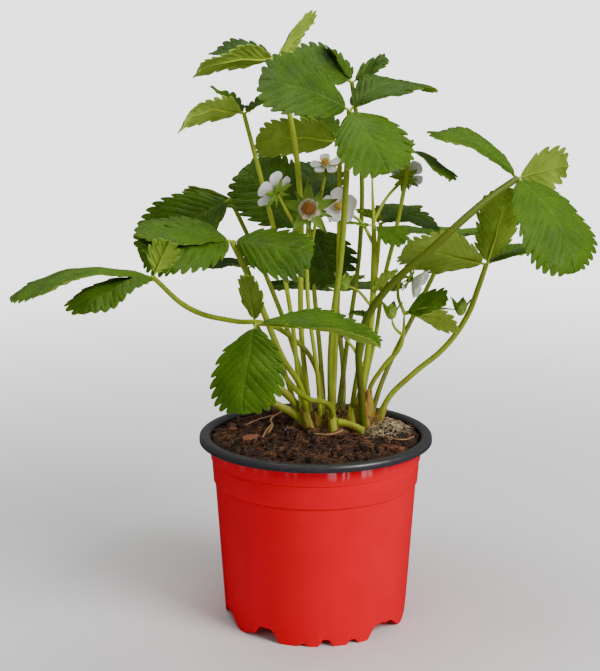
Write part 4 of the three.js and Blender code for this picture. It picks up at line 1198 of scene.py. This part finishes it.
# Each spray's stalks with their points, radius and the bloom that each carries, the small leaves
# at a joint, and the buds
SPRAYS = {
    "spray_left": (
        [([(3, -5, 107), (1, -10, 140), (-4, -14, 180), (-5, -16, 205)], 1.2, "bloom_spent"),
         ([(-5, -15, 200), (-9, -17, 218), (-16, -22, 233)], 0.9, "bloom_left"),
         ([(-5, -15, 200), (0, -10, 226), (4, -7, 246)], 0.9, "bloom_withered")],
        [],
        [],
    ),
    "spray_middle": (
        [([(20, -2, 107), (26, -2, 135), (30, -2, 165), (31.5, -2, 200), (30, -1, 248)], 1.8, None),
         ([(31, -2, 224), (38, 4, 236), (46, 11, 244)], 0.9, "bloom_right"),
         ([(31, -2, 212), (24, -3, 224), (14, -5, 231)], 0.9, "bloom_middle"),
         ([(27, -2, 142), (21, -4, 154), (16, -6, 162)], 0.9, "bloom_low"),
         ([(30, -2, 178), (22, -4, 187), (15, -6, 190)], 0.8, None)],
        [((31, -2, 222), (-35, -25, 18, 15, 20, 20, 5, 0.6)),
         ((31, -2, 222), (-165, 8, 13, 12, 10, 0, 5, 0.6)),
         ((30, -2, 183), (-45, 45, 20, 12, 10, 0, 10, 0.5)),
         ((30, -2, 170), (130, 10, 12, 11, 10, 0, 5, 0.5))],
        [(15, -6, 191)],
    ),
    "spray_right": (
        [([(29, 4, 107), (30, 6, 128), (38, 6, 142), (47, 5, 154), (49, 5, 173)], 1.4, None),
         ([(49, 5, 172), (45, 3, 184), (48, -3, 194)], 0.9, "bloom_nodding"),
         ([(49, 5, 172), (62, 5, 175), (78, -3, 176)], 0.8, None),
         ([(48, 5, 160), (43, 0, 166), (41, -4, 174)], 0.8, None)],
        # The first small leaf is toned up to 1: painted light on an upper side that lies in shade
        [((49, 5, 173), (-24, 20, 23, 20, 10, 30, 10, 1)),
         ((49, 5, 173), (-14, -14, 28, 20, 20, -40, 5, 0.8))],
        [(79, -3, 177), (41, -4, 175)],
    ),
}


def bloom_pose(at, faces):
    """The place and turn of a bloom, whose own Z is the way that it faces."""
    heading, rise = (math.radians(angle) for angle in faces)
    axis = Vector((math.cos(rise) * math.cos(heading), math.cos(rise) * math.sin(heading), math.sin(rise)))
    return Matrix.Translation(at) @ Vector((0, 0, 1)).rotation_difference(axis).to_matrix().to_4x4()


def add_sheet(drawing, pose, shape, outline, rows, columns, cup, thickness, material=0):
    """Adds a petal or sepal: a thin cupped sheet whose half width follows the outline."""
    heading, lift, start, length, width, bend, level = shape
    axes = blade_axes(heading, lift, bend, 0)
    base = Vector((math.cos(math.radians(heading)), math.sin(math.radians(heading)), 0)) * start
    base += Vector((0, 0, level)) - PETIOLULE * axes[0]
    tone = drawing.verts.layers.float["tone"]
    chart = drawing.loops.layers.uv["UVMap"]
    grid = bmesh.ops.create_grid(drawing, x_segments=columns, y_segments=rows, size=1)["verts"]
    places = {}
    for point in grid:
        side, share = -point.co.x, (point.co.y + 1) / 2
        aside = outline(share) * width / 2 * side
        reach = share * length - SHEET_ROUNDING * length * share ** 4 * side * side
        places[point] = (side, share)
        spot = on_blade(base, axes, length, bend, 0, reach, aside, cup * width * side * side)
        point.co = pose @ spot
        point[tone] = share
    sheet = list({face for point in grid for face in point.link_faces})
    for face in sheet:
        face.normal_update()
        face.material_index = material
        for loop in face.loops:
            loop[chart].uv = places[loop.vert]
    before = len(drawing.faces)
    bmesh.ops.solidify(drawing, geom=sheet, thickness=thickness)
    drawing.faces.ensure_lookup_table()
    for face in drawing.faces[before:]:
        face.material_index = material


def sepal_outline(share):
    """A sepal is broad near its foot and drawn out to a point."""
    return 0.05 + 0.95 * math.sin(math.pi * (0.28 + 0.71 * share)) ** 1.1


def add_calyx(drawing, at, faces, length):
    """Adds a bloom's green cup and its two rings of sepals and bracts."""
    pose = bloom_pose(at, faces)
    cup = pose @ Matrix.Translation((0, 0, -CALYX_DEPTH / 2)) @ Matrix.Diagonal((1, 1, 0.45, 1))
    made = bmesh.ops.create_uvsphere(drawing, u_segments=16, v_segments=10, radius=CALYX_RADIUS, matrix=cup)
    for face in {face for point in made["verts"] for face in point.link_faces}:
        face.material_index = STALK
    long = length + 0.75 * CALYX_RADIUS
    for sepal in range(SEPALS):
        heading = 360 * sepal / SEPALS + 90
        between = heading + 180 / SEPALS
        broad = (heading, -4, SEPAL_FOOT, long, 0.3 * length + 1.4, -18, -CALYX_DEPTH / 2)
        narrow = (between, -14, SEPAL_FOOT, 0.82 * long, 0.14 * length + 0.9, -8, -0.75 * CALYX_DEPTH)
        for shape in (broad, narrow):
            add_sheet(
                drawing, pose, shape, sepal_outline, SEPAL_ROWS, SEPAL_COLUMNS, SEPAL_CUP,
                SEPAL_THICKNESS, SEPAL,
            )


def add_bud(drawing, at):
    """Adds a closed bud, an upright drop whose sepals meet in a point."""
    drop = Matrix.Translation(at) @ Matrix.Diagonal((*BUD_SIZE, 1))
    bud = bmesh.ops.create_uvsphere(drawing, u_segments=20, v_segments=14, radius=1, matrix=drop)["verts"]
    tone = drawing.verts.layers.float["tone"]
    for point in bud:
        away = point.co - Vector(at)
        share = away.z / BUD_SIZE.z
        ridge = 1 + 0.1 * abs(math.cos(2.5 * math.atan2(away.y, away.x)))
        taper = ridge * (1 - 0.35 * max(share, 0))
        point.co.x = at[0] + away.x * taper
        point.co.y = at[1] + away.y * taper
        point[tone] = 0.35 + share / 4
    for face in {face for point in bud for face in point.link_faces}:
        face.material_index = SEPAL
    pose = Matrix.Translation(at)
    for sepal in range(SEPALS):
        shape = (360 * sepal / SEPALS, 60, 1.9, 9.5, 5, 24, -0.6 * BUD_SIZE.z)
        add_sheet(
            drawing, pose, shape, sepal_outline, BUD_ROWS, BUD_COLUMNS, SEPAL_CUP,
            BUD_SEPAL_THICKNESS, SEPAL,
        )


# Sepals and bracts: thin green leaf tissue, bright at the foot, brown at the tip, faintly ribbed
sepal_skin, tree = new_material("green_sepal")
coordinates = add(tree, "TexCoord", {})
own = add(tree, "Attribute", {}, attribute_name="tone").outputs["Fac"]
ribs = add(tree, "Mapping", {"Vector": coordinates.outputs["UV"], "Scale": (7, 0.6, 1)})
lines = add(tree, "TexNoise", {"Vector": ribs, "Scale": 1, "Detail": 2})
paint = add(tree, "MixRGB", {"Fac": own, "Color1": linear(0xA8BC44), "Color2": linear(0x5C8A16)})
paint = add(tree, "MixRGB", {"Fac": lines, "Color1": paint, "Color2": linear(0x7CA428)})
withered = add(tree, "MapRange", {"Value": own, "From Min": 0.7, "From Max": 1, "To Max": 0.6})
paint = add(tree, "MixRGB", {"Fac": withered, "Color1": paint, "Color2": linear(0x7E5A2C)})
bump = add(tree, "Bump", {"Height": lines, "Strength": 0.4, "Distance": 0.0003})
shader = add(
    tree, "BsdfPrincipled",
    {"Base Color": paint, "Roughness": 0.5, "Normal": bump, "Subsurface Weight": 0.15,
     "Subsurface Radius": (0.0006, 0.001, 0.0002), "Subsurface Scale": 1},
)
add(tree, "OutputMaterial", {"Surface": shader})

spray_materials = leaf_materials + [sepal_skin]
spray_draw = random.Random(41)
for name, (stalks, leaves, buds) in SPRAYS.items():
    spray = start_leaf()
    ribs = [add_leaflet(spray, Vector(at), shape, spray_draw, columns=12) for at, shape in leaves]
    stems = []
    for points, radius, bloom in stalks:
        path = list(points)
        if bloom:
            at, faces, length, petals = BLOOMS[bloom]
            path.append(bloom_pose(at, faces) @ Vector((0, 0, -CALYX_DEPTH / 2)))
            add_calyx(spray, at, faces, length)
        end = STALK_NECK if bloom else STALK_TIP
        stems.append((path, [STALK_FOOT * radius] + [radius] * (len(path) - 2) + [end * radius]))
    grow_stems(spray, stems + ribs, 0.75)
    for at in buds:
        add_bud(spray, at)
    stand_for(make_object(spray, name + "_grown", spray_materials, sharp=60), "stalk_green", name)


# Blooms
# Each bloom has round white petals on short claws, cupped and finely veined, and a yellow dome of
# pistils in a ring of stamens. The spent one has swollen and browned, in a ring of cream remains.
DISC_DEPTH = 0.8
DISC_FLATNESS = 0.18
PETAL_FOOT = 1.5
PETAL_BEND = -20
PETAL_CUP = 0.09
PETAL_THICKNESS = 0.25
PETAL_ROWS = 14
PETAL_COLUMNS = 12
HEART_RADIUS = 2.3
SPENT_RADIUS = 3.3
HEART_FLATNESS = 0.8
HEART_CORE = 0.86
PISTILS = 46
PISTIL_SPREAD = 1.15
PISTIL_REACH = 0.9
PISTIL_RADIUS = 0.3
STAMENS = 20
STAMEN_LENGTH = 2.6
FILAMENT_RADII = [0.16, 0.13, 0.1]
ANTHER_RADIUS = 0.34
CREAM_FLAPS = 13
FLAP_ROWS = 5
FLAP_COLUMNS = 4
FLAP_CUP = 0.1

# The place of a heart's second material, its filaments' and flaps'
FILAMENT = 1


def petal_outline(share):
    """A petal has a narrow claw, and is broadest past its middle."""
    return 0.2 + 0.8 * math.sin(math.pi * min(share ** 1.15, 1) ** 1.25 * 0.86) ** 0.75


# Petals: thin, satin and warm white, with fine lengthwise veins and a green-yellow claw
petal_skin, tree = new_material("white_petal")
coordinates = add(tree, "TexCoord", {})
own = add(tree, "Attribute", {}, attribute_name="tone").outputs["Fac"]
lengthwise = add(tree, "Mapping", {"Vector": coordinates.outputs["UV"], "Scale": (9, 0.8, 1)})
lines = add(tree, "TexNoise", {"Vector": lengthwise, "Scale": 1, "Detail": 2})
claw = add(tree, "MapRange", {"Value": own, "From Max": 0.22, "To Min": 0.8, "To Max": 0})
paint = add(tree, "MixRGB", {"Fac": lines, "Color1": linear(0xF6F4F0), "Color2": linear(0xE6E4DE)})
paint = add(tree, "MixRGB", {"Fac": claw, "Color1": paint, "Color2": linear(0xD8DCA0)})
bump = add(tree, "Bump", {"Height": lines, "Strength": 0.35, "Distance": 0.0003})
shader = add(
    tree, "BsdfPrincipled",
    {"Base Color": paint, "Roughness": 0.55, "Normal": bump, "Subsurface Weight": 0.25,
     "Subsurface Radius": (0.001, 0.001, 0.0008), "Subsurface Scale": 1},
)
add(tree, "OutputMaterial", {"Surface": shader})

# The heart: matt yellow pistils and anthers, which turn golden brown in the spent bloom
PISTIL_COLOURS = {
    "yellow_pistils": (0xB88C24, 0xECCC58),
    "browned_pistils": (0x6A360C, 0xD08C20),
}
heart_skins = {
    name: mottled_finish(
        name, patch=0.0012, grain={"Detail": 3}, colours=colours, surface={"Roughness": 0.7}
    )
    for name, colours in PISTIL_COLOURS.items()
}

# Stamens: pale filaments, which dry to cream
stamen_skin = mottled_finish(
    "pale_filament", patch=0.0015, grain={"Detail": 2}, colours=(0xD8C890, 0xF4ECD0),
    surface={"Roughness": 0.6},
)

GOLDEN_TURN = math.pi * (3 - math.sqrt(5))
disc_middle = CLEARANCE + DISC_DEPTH / 2
bloom_draw = random.Random(53)
for name, (at, faces, length, (petals, petal_length, petal_width, lift)) in BLOOMS.items():
    pose = bloom_pose(at, faces)
    if petals:
        corolla = start_leaf()
        for petal in range(petals):
            heading = 360 * petal / petals + 90 + bloom_draw.uniform(-4, 4)
            rise = lift + bloom_draw.uniform(-6, 6)
            shape = (heading, rise, PETAL_FOOT, petal_length, petal_width, PETAL_BEND, disc_middle)
            add_sheet(
                corolla, pose, shape, petal_outline, PETAL_ROWS, PETAL_COLUMNS, PETAL_CUP, PETAL_THICKNESS
            )
        disc = pose @ Matrix.Translation((0, 0, disc_middle)) @ Matrix.Diagonal((1, 1, DISC_FLATNESS, 1))
        bmesh.ops.create_uvsphere(corolla, u_segments=20, v_segments=8, radius=PETAL_FOOT + 0.7, matrix=disc)
        piece = make_object(corolla, name + "_corolla", [petal_skin], sharp=60)
        stand_for(piece, "petal_white", name + "_petals")

    heart = start_leaf()
    radius = HEART_RADIUS if petals else SPENT_RADIUS
    seat = DISC_DEPTH + 2 * CLEARANCE if petals else CLEARANCE
    middle = Vector((0, 0, seat + HEART_FLATNESS * HEART_RADIUS))
    dome = pose @ Matrix.Translation(middle) @ Matrix.Diagonal((1, 1, HEART_FLATNESS, 1))
    bmesh.ops.create_uvsphere(heart, u_segments=20, v_segments=12, radius=HEART_CORE * radius, matrix=dome)
    for pistil in range(PISTILS):
        share = (pistil + 0.5) / PISTILS
        rise = math.asin(1 - PISTIL_SPREAD * share)
        turn = pistil * GOLDEN_TURN
        spot = Vector((math.cos(rise) * math.cos(turn), math.cos(rise) * math.sin(turn), math.sin(rise)))
        at_spot = dome @ Matrix.Translation(spot * PISTIL_REACH * radius)
        bmesh.ops.create_icosphere(heart, subdivisions=1, radius=PISTIL_RADIUS, matrix=at_spot)
    if not petals:
        for flap in range(CREAM_FLAPS):
            heading = 360 * flap / CREAM_FLAPS + bloom_draw.uniform(-10, 10)
            rise = bloom_draw.uniform(-5, 45)
            flap_length = bloom_draw.uniform(2.4, 4.4)
            shape = (heading, rise, 0.8 * radius, flap_length, bloom_draw.uniform(2.2, 3.6), 20, seat)
            add_sheet(
                heart, pose, shape, petal_outline, FLAP_ROWS, FLAP_COLUMNS, FLAP_CUP, PETAL_THICKNESS,
                FILAMENT,
            )
    filaments = []
    for stamen in range(STAMENS):
        turn = math.tau * stamen / STAMENS
        lean = math.radians(bloom_draw.uniform(32, 58))
        outward = Vector((math.cos(turn), math.sin(turn), 0))
        reach = STAMEN_LENGTH * bloom_draw.uniform(0.75, 1)
        foot = outward * 0.7 * radius + Vector((0, 0, seat + 0.4))
        tip = foot + reach * (math.sin(lean) * outward + math.cos(lean) * Vector((0, 0, 1)))
        bend = (foot + tip) / 2 + 0.25 * outward
        filaments.append(([pose @ foot, pose @ bend, pose @ tip], FILAMENT_RADII))
        anther = pose @ Matrix.Translation(tip) @ Matrix.Diagonal((1, 1, 1.5, 1))
        bmesh.ops.create_icosphere(heart, subdivisions=1, radius=ANTHER_RADIUS, matrix=anther)
    for face in add_stems(heart, filaments, 3, 0):
        face.material_index = FILAMENT
    skin = heart_skins["yellow_pistils" if petals else "browned_pistils"]
    piece = make_object(heart, name + "_centre", [skin, stamen_skin])
    stand_for(piece, "stamen_yellow", name + "_heart")


# Floor, light and camera
# A pale table top under soft studio light: a broad key from the right and the front, a weaker fill
# from the left, and a light from above. The camera stands where the photo was taken.
FLOOR_SIZE = 6000
SWEEP_START = 0.1
SWEEP_END = 1.3
BACKDROP_LOOK = 2.6
BACKDROP_LIGHT = 0.2


def backdrop_glow(tree):
    """How bright the backdrop is: it is lit apart from the plant, so it looks white and lights little."""
    seen = add(tree, "LightPath", {}).outputs["Is Camera Ray"]
    return add(tree, "MapRange", {"Value": seen, "To Min": BACKDROP_LIGHT, "To Max": BACKDROP_LOOK})


world = bpy.data.worlds.new("studio")
bpy.context.scene.world = world
world.use_nodes = True
backdrop = world.node_tree.nodes["Background"]
backdrop.inputs["Color"].default_value = linear(0xFFFFFF)
world.node_tree.links.new(backdrop_glow(world.node_tree).outputs[0], backdrop.inputs["Strength"])

# The table is matt paper near the pot, and farther off it sweeps up into the same backdrop. It
# mirrors as a darker grey, so that the pot's edges keep their colour.
floor_drawing = bmesh.new()
bmesh.ops.create_grid(floor_drawing, x_segments=2, y_segments=2, size=FLOOR_SIZE)
pale_top, tree = new_material("pale_paper_sweep")
place = add(tree, "TexCoord", {}).outputs["Object"]
away = add(tree, "VectorMath", {0: place}, operation="LENGTH").outputs["Value"]
far = add(
    tree, "MapRange", {"Value": away, "From Min": SWEEP_START, "From Max": SWEEP_END},
    interpolation_type="SMOOTHSTEP",
)
mirrored = add(tree, "LightPath", {}).outputs["Is Glossy Ray"]
paint = add(tree, "MixRGB", {"Fac": mirrored, "Color1": linear(0xF8F8F8), "Color2": linear(0x3C3C3C)})
paper = add(tree, "BsdfPrincipled", {"Base Color": paint, "Roughness": 0.9, "Specular IOR Level": 0.1})
sweep = add(tree, "Emission", {"Color": linear(0xFFFFFF), "Strength": backdrop_glow(tree)})
shader = add(tree, "MixShader", {0: far, 1: paper, 2: sweep})
add(tree, "OutputMaterial", {"Surface": shader})
make_object(floor_drawing, "table_top", [pale_top])

# Each light has its place and the spot that it points at, in metres, its side and its power
LIGHTS = {
    "key": ((1.05, -0.85, 1.0), (0, 0, 0.16), 0.8, 24),
    "top": ((-0.1, 0.1, 1.4), (0, 0, 0.2), 0.9, 10),
    "fill": ((-0.7, -1.1, 1.0), (0, 0, 0.3), 0.5, 0.9),
}
for name, (at, target, side, power) in LIGHTS.items():
    lamp = bpy.data.lights.new(name, "AREA")
    lamp.shape = "SQUARE"
    lamp.size = side
    lamp.energy = power
    holder = bpy.data.objects.new(name, lamp)
    holder.location = at
    holder.rotation_euler = (Vector(target) - Vector(at)).to_track_quat("-Z", "Y").to_euler()
    bpy.context.collection.objects.link(holder)

# The camera's place, in metres, its tilt and turn, in degrees, and its lens, in millimetres, were
# fitted to the pot's rim and feet
CAMERA_AT = (0, -0.705, 0.308)
CAMERA_TILT = 78.2
CAMERA_TURN = 0.71
CAMERA_LENS = 70.07
view = bpy.data.cameras.new("camera")
view.sensor_fit = "VERTICAL"
view.sensor_height = 36
view.lens = CAMERA_LENS
view.clip_start = 0.01
camera = bpy.data.objects.new("camera", view)
camera.location = CAMERA_AT
camera.rotation_euler = (math.radians(CAMERA_TILT), 0, math.radians(CAMERA_TURN))
bpy.context.collection.objects.link(camera)
bpy.context.scene.camera = camera
